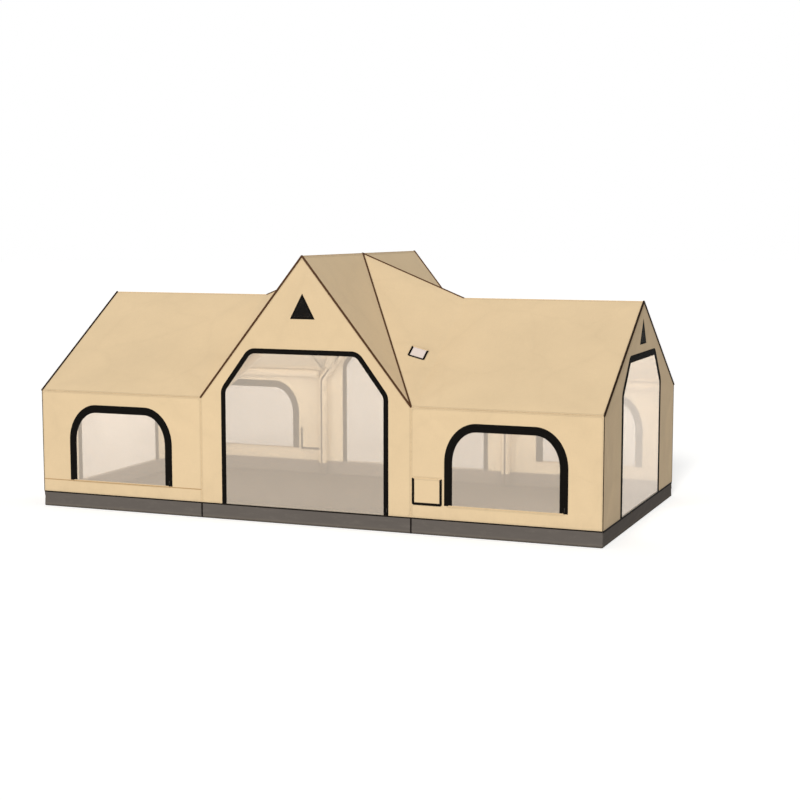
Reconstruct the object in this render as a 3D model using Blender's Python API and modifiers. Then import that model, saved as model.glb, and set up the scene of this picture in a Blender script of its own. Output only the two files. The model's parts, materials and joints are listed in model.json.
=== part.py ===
"""Inflatable house tent, 8.0 m long, 4.0 m deep and 3.5 m high.

Two wings stand either side of a taller centre bay whose gables face the front and the back.
Air beams carry sewn fabric walls and roof panels over a bathtub groundsheet.
Frame: X along the length, Y from front (-) to back (+), Z up, origin on the ground at the middle.
The plan has a half-turn symmetry about Z, so most back pieces are the front ones turned round.
"""

import math

import bmesh
import bpy
from mathutils import Matrix, Vector

# ---------------------------------------------------------------- driving dimensions, metres
LENGTH, DEPTH, HEIGHT = 8.0, 4.0, 3.5  # outside of the fabric
TRAY_Z = 0.21  # top of the groundsheet's upstand
EAVE_Z = 1.62  # where walls meet roof
WING_RIDGE_Z = 2.90  # level ridge of each wing
BAY_X = 1.50  # half-width of the centre bay
SKIN = 0.004  # thickness that stands for a sewn fabric panel
ROOF_DROP = 0.005  # the same, measured straight down through a sloping panel
SEAM = 0.0004  # gap between panels that are sewn together
TAPE = 0.0022  # thickness of a zip tape on the outside of a wall
LIFT = 0.0003  # gap under anything laid on a wall
LEAF_GAP = 0.0015  # gap round a door leaf, window pane or flap
LEAF = 0.0065  # thickness of a door leaf or window pane at its bound edge, which is level with the wall's inside

BEAM_R = 0.065  # air beam, 130 mm across
BEAM_CLEAR = 0.002  # air beam to fabric
BEAM_SIDES = 4  # bevel resolution, 12 sides

MAIN_DOOR = dict(half=1.160, knee=1.736, shoulder=0.764, top=2.263, round=0.16, tape=0.028)
END_DOOR = dict(half=1.075, knee=1.770, shoulder=0.702, top=2.195, round=0.10, tape=0.040)
DOOR_BOTTOM = TRAY_Z + 0.0025

WINDOW_X = 2.75  # middle of a window from the middle of the tent
WINDOW = dict(half=0.748, sill=0.389, top=1.390, rx=0.370, rz=0.450, tape=0.050)

VENT = dict(half=0.175, rise=0.330)  # small triangular vent, base up to tip
VENT_MAIN_Z, VENT_END_Z = 2.690, 2.345  # height of its base in the main and in the end gables
VENT_HEM = 0.030

PORT = dict(left=1.528, right=1.902, low=0.391, high=0.722)  # U-zipped port beside the centre bay
STOVE_CENTRE_XY = (1.281, -1.171)  # flue port in the rising roof facet
STOVE_HALF = (0.102, 0.096)

VALVE_Z = 0.55  # inflation valve, on the post behind the front port
SLIDER = (0.014, 0.032, 0.0045)  # zip slider, across, along and off the tape
PULL = (0.009, 0.044, 0.0022)

PROUD = 2 * LIFT + TAPE + SLIDER[2] + PULL[2] - 0.0006  # fabric's outer face to the outside of a slider's pull
X1, Y1 = LENGTH / 2 - PROUD, DEPTH / 2 - PROUD  # outer faces of the walls
WING_SLOPE = (WING_RIDGE_Z - EAVE_Z) / Y1
GABLE_SLOPE = (HEIGHT - EAVE_Z) / BAY_X
RISE_SLOPE = (HEIGHT - WING_RIDGE_Z) / BAY_X
TURN = Matrix.Rotation(math.pi, 4, "Z")

SAND, SAND_ROOF, SLATE = (0.807, 0.610, 0.366), (0.745, 0.540, 0.328), (0.117, 0.092, 0.078)
BLACK, MESH_WHITE, PALE = (0.012, 0.010, 0.009), (0.791, 0.686, 0.604), (0.807, 0.686, 0.631)
SLEEVE, METAL, VALVE_GREY = (0.72, 0.56, 0.36), (0.30, 0.28, 0.26), (0.05, 0.05, 0.055)

for old in list(bpy.data.objects):
    bpy.data.objects.remove(old, do_unlink=True)
TENT = bpy.data.collections.new("inflatable_tent")
CUTTERS = bpy.data.collections.new("cutters")
bpy.context.scene.collection.children.link(TENT)
bpy.context.scene.collection.children.link(CUTTERS)


# ---------------------------------------------------------------- helpers
def finish(obj, colour, rough, metal=0.0):
    """Gives the object its own plain material."""
    mat = bpy.data.materials.new(obj.name)
    mat.use_nodes = True
    bsdf = mat.node_tree.nodes["Principled BSDF"]
    bsdf.inputs["Base Color"].default_value = (*colour, 1.0)
    bsdf.inputs["Roughness"].default_value = rough
    bsdf.inputs["Metallic"].default_value = metal
    mat.diffuse_color = (*colour, 1.0)
    obj.data.materials.clear()
    obj.data.materials.append(mat)
    return obj


def axes(origin, across, up):
    """A frame whose local X runs across, local Y up, and local Z out of the face."""
    across, up = Vector(across).normalized(), Vector(up).normalized()
    out = across.cross(up)
    rows = Matrix((across, up, out)).transposed().to_4x4()
    return Matrix.Translation(origin) @ rows


def plate(name, outline, frame, thickness, holes=(), pivot=None, shift=0.0):
    """A flat outline, with holes, as a filled 2D curve extruded both ways from the frame's plane.
    shift moves it along the frame's Z. pivot, in the frame's axes, becomes the object's origin."""
    pivot = Vector(pivot) if pivot is not None else Vector((0, 0, 0))
    data = bpy.data.curves.new(name, "CURVE")
    data.dimensions = "2D"
    data.fill_mode = "BOTH"
    data.extrude = thickness / 2
    for ring in (outline, *holes):
        spline = data.splines.new("POLY")
        spline.points.add(len(ring) - 1)
        for point, (x, y) in zip(spline.points, ring):
            point.co = (x - pivot.x, y - pivot.y, 0, 1)
        spline.use_cyclic_u = True
    obj = bpy.data.objects.new(name, data)
    TENT.objects.link(obj)
    if abs(pivot.z - shift) < 1e-9:
        obj.matrix_world = frame @ Matrix.Translation(pivot)
        return obj
    # the plate lies off its pivot's plane, so its mesh carries the offset
    return as_mesh(obj, frame @ Matrix.Translation(pivot), (0, 0, shift - pivot.z))


def as_mesh(obj, matrix=None, offset=(0, 0, 0)):
    """The curve object as a welded mesh object of the same name."""
    world = matrix if matrix is not None else obj.matrix_world.copy()
    bpy.context.view_layer.update()
    graph = bpy.context.evaluated_depsgraph_get()
    mesh = bpy.data.meshes.new_from_object(obj.evaluated_get(graph))
    work = bmesh.new()
    work.from_mesh(mesh)
    bmesh.ops.translate(work, verts=work.verts, vec=offset)
    bmesh.ops.remove_doubles(work, verts=work.verts, dist=1e-6)
    bmesh.ops.recalc_face_normals(work, faces=work.faces)
    work.to_mesh(mesh)
    work.free()
    name = obj.name
    bpy.data.objects.remove(obj, do_unlink=True)
    made = bpy.data.objects.new(name, mesh)
    made.name = name
    TENT.objects.link(made)
    made.matrix_world = world
    return made


def rounded(points, radii, steps=6):
    """The polyline with each inner corner replaced by an arc of its radius."""
    points = [Vector(p) for p in points]
    line = [points[0]]
    for before, here, after, radius in zip(points, points[1:], points[2:], radii):
        a, b = (before - here).normalized(), (after - here).normalized()
        half = a.angle(b) / 2
        back = radius / math.tan(half)
        centre = here + (a + b).normalized() * (radius / math.sin(half))
        start, end = here + a * back - centre, here + b * back - centre
        sweep = start.angle(end)
        for n in range(steps + 1):
            t = n / steps
            way = (math.sin((1 - t) * sweep) * start + math.sin(t * sweep) * end) / math.sin(sweep)
            line.append(centre + way)
    line.append(points[-1])
    return line


def tube(name, points, radius=BEAM_R):
    """An air beam: a round tube with closed ends along the points."""
    data = bpy.data.curves.new(name, "CURVE")
    data.dimensions = "3D"
    data.bevel_depth = radius
    data.bevel_resolution = BEAM_SIDES
    data.use_fill_caps = True
    spline = data.splines.new("POLY")
    spline.points.add(len(points) - 1)
    for point, p in zip(spline.points, points):
        point.co = (*p, 1)
    spline.use_smooth = True
    obj = bpy.data.objects.new(name, data)
    TENT.objects.link(obj)
    return obj


def joined(name, lines, radius=BEAM_R):
    """Several tubes welded into one chamber."""
    made = [as_mesh(tube(f"{name}_{n}", line, radius)) for n, line in enumerate(lines)]
    base = made[0]
    base.name = name
    for n, other in enumerate(made[1:]):
        helper(other)
        cut(base, other, "UNION", f"weld_{n}")
    return base


def helper(obj):
    """Takes the object out of the model: it only cuts or joins."""
    TENT.objects.unlink(obj)
    CUTTERS.objects.link(obj)
    obj.hide_render = True
    obj.display_type = "WIRE"
    return obj


def cut(obj, other, operation="DIFFERENCE", name="cut"):
    modifier = obj.modifiers.new(name, "BOOLEAN")
    modifier.operation = operation
    modifier.solver = "EXACT"
    modifier.object = other
    return obj


def block(name, size, centre, matrix=None):
    """A box of that size, its mesh centred on centre in the matrix's frame."""
    mesh = bpy.data.meshes.new(name)
    work = bmesh.new()
    bmesh.ops.create_cube(work, size=1.0)
    bmesh.ops.scale(work, verts=work.verts, vec=size)
    bmesh.ops.translate(work, verts=work.verts, vec=centre)
    work.to_mesh(mesh)
    work.free()
    obj = bpy.data.objects.new(name, mesh)
    TENT.objects.link(obj)
    obj.matrix_world = matrix if matrix is not None else Matrix.Identity(4)
    return obj


def slab(name, faces):
    """Sloping panels that share edges, extruded straight down by the roof's thickness."""
    mesh = bpy.data.meshes.new(name)
    work = bmesh.new()
    made = {}
    for face in faces:
        ring = []
        for p in face:
            key = tuple(round(c, 7) for c in p)
            if key not in made:
                made[key] = work.verts.new(p)
            ring.append(made[key])
        work.faces.new(ring)
    grown = bmesh.ops.extrude_face_region(work, geom=list(work.faces))
    moved = [g for g in grown["geom"] if isinstance(g, bmesh.types.BMVert)]
    bmesh.ops.translate(work, verts=moved, vec=(0, 0, -ROOF_DROP))
    bmesh.ops.recalc_face_normals(work, faces=work.faces)
    work.to_mesh(mesh)
    work.free()
    obj = bpy.data.objects.new(name, mesh)
    TENT.objects.link(obj)
    return obj


# ---------------------------------------------------------------- outlines, in a wall's own plane
def corner(before, here, after, radius, steps=5):
    """Points of the arc that rounds one corner of a flat outline."""
    before, here, after = Vector(before), Vector(here), Vector(after)
    a, b = (before - here).normalized(), (after - here).normalized()
    half = a.angle(b) / 2
    back = radius / math.tan(half)
    centre = here + (a + b).normalized() * (radius / math.sin(half))
    start, end = here + a * back - centre, here + b * back - centre
    sweep = start.angle(end)
    ring = []
    for n in range(steps + 1):
        t = n / steps
        way = (math.sin((1 - t) * sweep) * start + math.sin(t * sweep) * end) / math.sin(sweep)
        ring.append(tuple(centre + way))
    return ring


def door_arch(door, grow, bottom):
    """The doorway's arch from its right foot over the top to its left foot, moved out by grow."""
    knee, shoulder = Vector((door["half"], door["knee"])), Vector((door["shoulder"], door["top"]))
    along = (shoulder - knee).normalized()
    out = Vector((along.y, -along.x))
    level = out.dot(knee) + grow
    x, top = door["half"] + grow, door["top"] + grow
    knee = Vector((x, (level - out.x * x) / out.y))
    shoulder = Vector(((level - out.y * top) / out.x, top))
    radius = door["round"] + grow
    right = [(x, bottom)]
    right += corner((x, bottom), knee, shoulder, radius)
    right += corner(knee, shoulder, (0, top), radius)
    return right + [(-px, pz) for px, pz in reversed(right)]


def window_arch(grow, bottom, steps=9):
    """The window's arch from its right foot over the top to its left foot, about its own middle."""
    half, top = WINDOW["half"] + grow, WINDOW["top"] + grow
    rx, rz = WINDOW["rx"] + grow, WINDOW["rz"] + grow
    right = [(half, bottom)]
    for n in range(steps + 1):
        a = math.pi / 2 * n / steps
        right.append((half - rx + rx * math.cos(a), top - rz + rz * math.sin(a)))
    return right + [(-px, pz) for px, pz in reversed(right)]


def band(arch, tape):
    """The zip tape that follows an arch on its outer side: out along one, back along the other."""
    return tape + list(reversed(arch))


def moved(ring, dx):
    return [(x + dx, z) for x, z in ring]


def triangle(base, shrink):
    """The vent's triangle with its sides moved in by shrink."""
    half, rise = VENT["half"], VENT["rise"]
    lean = math.hypot(half, rise)
    tip = base + rise - shrink * lean / half
    side = half - shrink * (lean + half) / rise
    return [(side, base + shrink), (0, tip), (-side, base + shrink)]


# ---------------------------------------------------------------- frames of the four faces
# Local X runs to the right as seen from outside, local Y up, local Z out. Local Z 0 is the fabric's outer face.
FRONT = axes((0, -Y1, 0), (1, 0, 0), (0, 0, 1))
BACK = TURN @ FRONT
RIGHT = axes((X1, 0, 0), (0, 1, 0), (0, 0, 1))
LEFT = TURN @ RIGHT

WALL_BOTTOM = TRAY_Z + SEAM
WALL_MID = -SKIN / 2

# ---------------------------------------------------------------- groundsheet
tray = block("groundsheet", (2 * X1, 2 * Y1, TRAY_Z), (0, 0, TRAY_Z / 2))
open_top = bmesh.new()
open_top.from_mesh(tray.data)
lid = [f for f in open_top.faces if f.normal.z > 0.9]
bmesh.ops.delete(open_top, geom=lid, context="FACES_ONLY")
open_top.to_mesh(tray.data)
open_top.free()
wall = tray.modifiers.new("skin", "SOLIDIFY")
wall.thickness = SKIN
wall.offset = -1
wall.use_even_offset = True
finish(tray, SLATE, 0.62)

# ---------------------------------------------------------------- walls
for side, face in (("front", FRONT), ("back", BACK)):
    # centre bay: gabled, with the main doorway open at its foot and a vent under the ridge
    low = EAVE_Z - ROOF_DROP - SEAM
    edge = BAY_X - SEAM
    doorway = door_arch(MAIN_DOOR, 0.0, WALL_BOTTOM)
    under = HEIGHT - ROOF_DROP - 0.0012
    gable = [(edge, WALL_BOTTOM), (edge, under - GABLE_SLOPE * edge), (0, under)]
    gable += [(-edge, under - GABLE_SLOPE * edge), (-edge, WALL_BOTTOM)]
    outline = gable + list(reversed(doorway))
    vent_hole = triangle(VENT_MAIN_Z, VENT_HEM)
    wall = plate(f"wall_{side}_centre", outline, face, SKIN, [vent_hole], shift=WALL_MID)
    finish(wall, SAND, 0.78)

    # wings: an arched window each, and the U-zipped port beside the bay on the right-hand wing
    near, far = BAY_X + SEAM, X1 - SKIN - SEAM
    for hand, sign in (("right", 1), ("left", -1)):
        name = hand if side == "front" else {"right": "left", "left": "right"}[hand]
        ring = [(sign * near, WALL_BOTTOM), (sign * far, WALL_BOTTOM), (sign * far, low), (sign * near, low)]
        holes = [moved(window_arch(0.0, WINDOW["sill"]), sign * WINDOW_X)]
        if sign > 0:
            holes.append([(PORT["left"], PORT["low"]), (PORT["right"], PORT["low"]),
                          (PORT["right"], PORT["high"]), (PORT["left"], PORT["high"])])
        wall = plate(f"wall_{side}_{name}", ring, face, SKIN, holes, shift=WALL_MID)
        finish(wall, SAND, 0.78)

for side, face in (("right", RIGHT), ("left", LEFT)):
    doorway = door_arch(END_DOOR, 0.0, WALL_BOTTOM)
    under = WING_RIDGE_Z - ROOF_DROP - 0.0012
    outline = [(Y1, WALL_BOTTOM), (Y1, under - WING_SLOPE * Y1), (0, under)]
    outline += [(-Y1, under - WING_SLOPE * Y1), (-Y1, WALL_BOTTOM)]
    outline += list(reversed(doorway))
    wall = plate(f"wall_end_{side}", outline, face, SKIN, [triangle(VENT_END_Z, VENT_HEM)], shift=WALL_MID)
    finish(wall, SAND, 0.78)

# ---------------------------------------------------------------- roof
g = SEAM
PEAK = HEIGHT + GABLE_SLOPE * g  # where the slopes of the high ridge would meet
for side, sy in (("front", -1), ("back", 1)):
    for hand, sx in (("left", -1), ("right", 1)):
        def at(x, y, z, sx=sx, sy=sy):
            return (sx * x, sy * y, z)

        # wing panel, folded along the line over the edge of the bay, with its facet rising to the high ridge
        eave_in, eave_out = at(BAY_X, Y1, EAVE_Z), at(X1, Y1, EAVE_Z)
        top = WING_RIDGE_Z - WING_SLOPE * g
        ridge_out, ridge_in = at(X1, g, top), at(BAY_X, g, top)
        crown = at(2 * g, g, HEIGHT - RISE_SLOPE * 2 * g - WING_SLOPE * g)
        wing = slab(f"roof_{hand}_{side}", [[eave_in, eave_out, ridge_out, ridge_in], [eave_in, ridge_in, crown]])
        finish(wing, SAND_ROOF, 0.78)

        # one slope of the bay's own gable roof, from its ridge down into the valley
        foot = BAY_X - 2.5 * g
        ring = [at(g, Y1, PEAK - GABLE_SLOPE * g), at(foot, Y1, PEAK - GABLE_SLOPE * foot),
                at(g, 3 * g, PEAK - GABLE_SLOPE * g)]
        slope = slab(f"roof_gable_{side}_{hand}", [ring])
        finish(slope, SAND_ROOF, 0.78)

# flue port in the front right facet: its own frame has local Y up the slope and local Z out of the roof
sx_, sy_ = STOVE_CENTRE_XY
stove_at = Vector((sx_, sy_, HEIGHT - RISE_SLOPE * sx_ + WING_SLOPE * sy_))
out = Vector((RISE_SLOPE, -WING_SLOPE, 1)).normalized()
upslope = Vector((0, 1, WING_SLOPE)).normalized()
STOVE = axes(stove_at, upslope.cross(out), upslope)
opening = block("stove_cutter", (2 * STOVE_HALF[0] + 2 * LEAF_GAP, 2 * STOVE_HALF[1] + 2 * LEAF_GAP, 0.08),
                (0, 0, 0), STOVE)
cut(bpy.data.objects["roof_right_front"], helper(opening))

# ---------------------------------------------------------------- zips, doors, windows, vents, flaps
TAPE_MID = LIFT + TAPE / 2
LEAF_FACE = LIFT + TAPE  # outer face of a closed leaf, level with the tape
LEAF_MID = LEAF_FACE - LEAF / 2
AXIS_OUT = LEAF_FACE + 0.0005  # a leaf that opens outwards turns about a line just outside its face
FLUSH_AXIS = 0.0005  # the same for a flap that lies level with the fabric round it
FLUSH_LIFT = 0.0010  # a slider on bare fabric, over the thin tape stitched there


def slider(name, face, x, z, lift=LEAF_FACE + LIFT):
    """A zip slider beside the zip, its pull hanging along the zip. x, z is its middle."""
    across, along, high = SLIDER
    pull_w, pull_l, pull_t = PULL
    spot = face @ Matrix.Translation((x, z, 0))
    body = block(name, (across, along, high), (0, 0, lift + high / 2), spot)
    tab = block(name + "_pull", (pull_w, pull_l, pull_t),
                (0, 0.004 - pull_l / 2, lift + high + pull_t / 2 - 0.0006), spot)
    cut(body, helper(tab), "UNION", "pull")
    return finish(body, METAL, 0.35, 1.0)


for side, face, door in (("front", FRONT, MAIN_DOOR), ("back", BACK, MAIN_DOOR),
                         ("right", RIGHT, END_DOOR), ("left", LEFT, END_DOOR)):
    foot = WALL_BOTTOM + 0.0005
    ring = band(door_arch(door, 0.0005, foot), door_arch(door, door["tape"], foot))
    finish(plate(f"door_zip_{side}", ring, face, TAPE, shift=TAPE_MID), BLACK, 0.55)
    # the leaf hangs on its left edge and opens outwards
    hinge = (-door["half"] + LEAF_GAP, 0, AXIS_OUT)
    leaf = plate(f"door_{side}", door_arch(door, -LEAF_GAP, DOOR_BOTTOM), face, LEAF, pivot=hinge, shift=LEAF_MID)
    finish(leaf, MESH_WHITE, 0.6)
    slider(f"slider_door_{side}", face, door["half"] + 0.011, 0.290)

for side, face in (("front", FRONT), ("back", BACK)):
    for hand, sign in (("right", 1), ("left", -1)):
        name = f"{side}_" + (hand if side == "front" else {"right": "left", "left": "right"}[hand])
        x = sign * WINDOW_X
        ring = band(window_arch(0.0005, WINDOW["sill"]), window_arch(WINDOW["tape"], WINDOW["sill"]))
        finish(plate(f"window_zip_{name}", moved(ring, x), face, TAPE, shift=TAPE_MID), BLACK, 0.55)
        # the pane is sewn along its sill and drops outwards when its zip is run round
        sill = WINDOW["sill"] + LEAF_GAP
        hinge = (x, sill, AXIS_OUT)
        pane = plate(f"window_{name}", moved(window_arch(-LEAF_GAP, sill), x), face, LEAF, pivot=hinge, shift=LEAF_MID)
        finish(pane, MESH_WHITE, 0.6)
        slider(f"slider_window_{name}", face, x + WINDOW["half"] + 0.011, 0.450)

for side, face, base in (("front", FRONT, VENT_MAIN_Z), ("back", BACK, VENT_MAIN_Z),
                         ("right", RIGHT, VENT_END_Z), ("left", LEFT, VENT_END_Z)):
    finish(plate(f"vent_{side}", triangle(base, 0.0), face, TAPE, shift=TAPE_MID), BLACK, 0.7)

for side, face in (("front", FRONT), ("back", BACK)):
    left, right = PORT["left"] + LEAF_GAP, PORT["right"] - LEAF_GAP
    low, high = PORT["low"] + LEAF_GAP, PORT["high"] - LEAF_GAP
    ring = [(left, low), (right, low), (right, high), (left, high)]
    hinge = ((left + right) / 2, high, FLUSH_AXIS)
    finish(plate(f"port_flap_{side}", ring, face, SKIN, pivot=hinge, shift=WALL_MID), SAND, 0.78)
    slider(f"slider_port_{side}", face, PORT["right"] + 0.010, PORT["high"] - 0.030, FLUSH_LIFT)

hx, hy = STOVE_HALF
ring = [(-hx, -hy), (hx, -hy), (hx, hy), (-hx, hy)]
finish(plate("stove_flap", ring, STOVE, SKIN, pivot=(0, hy, FLUSH_AXIS), shift=WALL_MID), PALE, 0.6)
slider("slider_stove", STOVE, hx + 0.010, hy - 0.030, FLUSH_LIFT)

# ---------------------------------------------------------------- air beams
IN = SKIN + BEAM_CLEAR + BEAM_R  # fabric's outer face to a beam's axis
FLOOR = SKIN + LIFT


def under_slope(slope):
    """How far a beam's axis lies straight below a sloping panel's outer face."""
    return ROOF_DROP + (BEAM_R + BEAM_CLEAR) * math.hypot(1, slope)


end_x, edge_y = X1 - IN, Y1 - IN
rafter_z = EAVE_Z - under_slope(WING_SLOPE)  # at the wall line
corner_z = rafter_z + WING_SLOPE * (Y1 - edge_y)
wing_top = rafter_z + WING_SLOPE * Y1
bay_gap = BAY_X + BEAM_R + BEAM_CLEAR

for side, sx in (("right", 1), ("left", -1)):
    # end chamber: two posts, two rafters and the two eave beams that run back to the bay
    arch = [(sx * end_x, -edge_y, FLOOR), (sx * end_x, -edge_y, corner_z), (sx * end_x, 0, wing_top),
            (sx * end_x, edge_y, corner_z), (sx * end_x, edge_y, FLOOR)]
    eaves = [[(sx * (end_x - 0.004), y, corner_z - 0.004), (sx * bay_gap, y, corner_z - 0.004)]
             for y in (-edge_y, edge_y)]
    beam = joined(f"beam_end_{side}", [rounded(arch, (0.14, 0.12, 0.14)), *eaves])
    finish(beam, SLEEVE, 0.7)
    # level ridge of the wing
    line = [(sx * (BAY_X + 0.014), 0, wing_top), (sx * (end_x - BEAM_R - BEAM_CLEAR), 0, wing_top)]
    finish(tube(f"beam_ridge_{side}", line), SLEEVE, 0.7)

gable_top = HEIGHT - under_slope(GABLE_SLOPE)
for side, sy in (("front", -1), ("back", 1)):
    y = sy * edge_y
    arch = [(-BAY_X, y, FLOOR), (-BAY_X, y, gable_top - GABLE_SLOPE * BAY_X), (0, y, gable_top),
            (BAY_X, y, gable_top - GABLE_SLOPE * BAY_X), (BAY_X, y, FLOOR)]
    finish(tube(f"beam_gable_{side}", rounded(arch, (0.14, 0.12, 0.14))), SLEEVE, 0.7)

# crown: the high ridge, the four valley beams and the two short beams down to the wing ridges.
# Each crossing pair is one bent tube, and the pairs sit a little under each other at the middle.
ridge_end = edge_y - BEAM_R - BEAM_CLEAR
valley = Vector((BAY_X, Y1)).normalized()
valley_drop = (HEIGHT - EAVE_Z) / math.hypot(BAY_X, Y1)
valley_end = math.hypot(BAY_X, Y1) - 0.27
arms = [[(0, -ridge_end, gable_top), (0, ridge_end, gable_top)]]
for n, sx in enumerate((-1, 1)):
    sink = 0.003 + 0.004 * n
    tips = [(s * sx * valley.x * valley_end, s * valley.y * valley_end, gable_top - valley_drop * valley_end)
            for s in (-1, 1)]
    arms.append([tips[0], (0, 0, gable_top - sink), tips[1]])
drop_end = (BAY_X - 0.040, wing_top + RISE_SLOPE * 0.040 - 0.004)
arms.append([(-drop_end[0], 0, drop_end[1]), (0, 0, gable_top - 0.011), (drop_end[0], 0, drop_end[1])])
finish(joined("beam_crown", arms), SLEEVE, 0.7)

# ---------------------------------------------------------------- inflation valve, inside the front port
seat = axes((BAY_X + BEAM_R + 0.0012, -edge_y, VALVE_Z), (0, 1, 0), (0, 0, 1))


def disc(name, radius, height, base, matrix, sides=20):
    """A short round piece standing on the matrix's plane at base."""
    mesh = bpy.data.meshes.new(name)
    work = bmesh.new()
    bmesh.ops.create_cone(work, cap_ends=True, segments=sides, radius1=radius, radius2=radius, depth=height)
    bmesh.ops.translate(work, verts=work.verts, vec=(0, 0, base + height / 2))
    work.to_mesh(mesh)
    work.free()
    obj = bpy.data.objects.new(name, mesh)
    TENT.objects.link(obj)
    obj.matrix_world = matrix
    return obj


valve = disc("valve_body", 0.030, 0.005, 0.0, seat)
cut(valve, helper(disc("valve_neck", 0.019, 0.018, 0.003, seat)), "UNION", "neck")
cut(valve, helper(block("valve_arm", (0.006, 0.010, 0.018), (0.0245, 0, 0.0115), seat)), "UNION", "arm")
cut(valve, helper(disc("valve_bore", 0.0135, 0.030, 0.004, seat)), "DIFFERENCE", "bore")
finish(valve, VALVE_GREY, 0.45)
cap_frame = seat @ Matrix.Translation((0.024, 0, 0.0215))  # on the cap's hinge line
cap = disc("valve_cap", 0.021, 0.006, 0.0, cap_frame)
for v in cap.data.vertices:
    v.co.x -= 0.024
cut(cap, helper(block("valve_lug", (0.0078, 0.012, 0.004), (-0.0041, 0, 0.003), cap_frame)), "UNION", "lug")
finish(cap, VALVE_GREY, 0.45)
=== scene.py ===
"""Looks of the inflatable house tent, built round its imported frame.

Every sewn panel is a thin cloth surface that meets its neighbours along the frame's own edges,
pulled tight over the air beams, with a little slack between them and creases running out of its corners.
Metres, X along the length, Y from front (-) to back (+), Z up.
"""

import math

import bmesh
import bpy
import numpy as np
from mathutils import Matrix, Vector, geometry
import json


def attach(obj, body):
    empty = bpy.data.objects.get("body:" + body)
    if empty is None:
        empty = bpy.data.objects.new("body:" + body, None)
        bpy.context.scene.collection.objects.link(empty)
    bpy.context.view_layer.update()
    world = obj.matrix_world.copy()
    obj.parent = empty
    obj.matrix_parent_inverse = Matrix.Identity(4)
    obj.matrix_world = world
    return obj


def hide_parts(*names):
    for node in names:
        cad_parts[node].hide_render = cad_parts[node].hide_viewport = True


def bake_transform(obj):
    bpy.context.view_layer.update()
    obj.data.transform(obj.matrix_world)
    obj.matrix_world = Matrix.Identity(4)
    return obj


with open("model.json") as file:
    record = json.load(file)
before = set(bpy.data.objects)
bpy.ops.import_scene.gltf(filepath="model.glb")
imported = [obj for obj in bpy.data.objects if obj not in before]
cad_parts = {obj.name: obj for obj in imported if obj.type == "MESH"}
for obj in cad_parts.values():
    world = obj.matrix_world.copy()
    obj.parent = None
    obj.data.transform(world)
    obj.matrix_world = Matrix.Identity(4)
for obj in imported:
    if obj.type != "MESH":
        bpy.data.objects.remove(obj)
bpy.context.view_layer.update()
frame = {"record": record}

# ---------------------------------------------------------------- sizes that the frame was built to
LIFT, TAPE, SKIN, LEAF_GAP, SEAM = 0.0003, 0.0022, 0.004, 0.0015, 0.0004
PROUD = 2 * LIFT + TAPE + 0.0045 + 0.0022 - 0.0006
X1, Y1 = 4.0 - PROUD, 2.0 - PROUD
TRAY_Z, EAVE_Z, WING_Z, HIGH_Z, BAY_X = 0.21, 1.62, 2.90, 3.5, 1.5
WING_SLOPE = (WING_Z - EAVE_Z) / Y1
GABLE_SLOPE = (HIGH_Z - EAVE_Z) / BAY_X
RISE_SLOPE = (HIGH_Z - WING_Z) / BAY_X
MAIN_DOOR = dict(half=1.160, knee=1.736, shoulder=0.764, top=2.263, round=0.16, tape=0.028, leaf=0.029)
END_DOOR = dict(half=1.075, knee=1.770, shoulder=0.702, top=2.195, round=0.10, tape=0.040, leaf=0.042)
WINDOW_X = 2.75
WINDOW = dict(half=0.748, sill=0.389, top=1.390, rx=0.370, rz=0.450, tape=0.050, leaf=0.047)
VENT = dict(half=0.175, rise=0.330)
VENT_MAIN_Z, VENT_END_Z = 2.690, 2.345
PORT = dict(left=1.528, right=1.902, low=0.391, high=0.722)
STOVE_XY, STOVE_HALF = (1.281, -1.171), (0.102, 0.096)
BEAM_R, BEAM_CLEAR = 0.065, 0.002
CLOTH = 0.0014  # thickness of a modelled cloth
WIDER = 0.005  # how far a zip band laps over its own seam


def axes(origin, across, up):
    across, up = Vector(across).normalized(), Vector(up).normalized()
    return Matrix.Translation(origin) @ Matrix((across, up, across.cross(up))).transposed().to_4x4()


TURN = Matrix.Rotation(math.pi, 4, "Z")
FRONT = axes((0, -Y1, 0), (1, 0, 0), (0, 0, 1))
BACK = TURN @ FRONT
RIGHT = axes((X1, 0, 0), (0, 1, 0), (0, 0, 1))
LEFT = TURN @ RIGHT
_sx, _sy = STOVE_XY
_out = Vector((RISE_SLOPE, -WING_SLOPE, 1)).normalized()
_up = Vector((0, 1, WING_SLOPE)).normalized()
STOVE = axes((_sx, _sy, HIGH_Z - RISE_SLOPE * _sx + WING_SLOPE * _sy), _up.cross(_out), _up)
WALL_LOW = TRAY_Z + SEAM


# ---------------------------------------------------------------- node materials
def srgb(r, g, b):
    return tuple((c / 255 / 12.92) if c / 255 <= 0.04045 else ((c / 255 + 0.055) / 1.055) ** 2.4 for c in (r, g, b))


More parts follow.
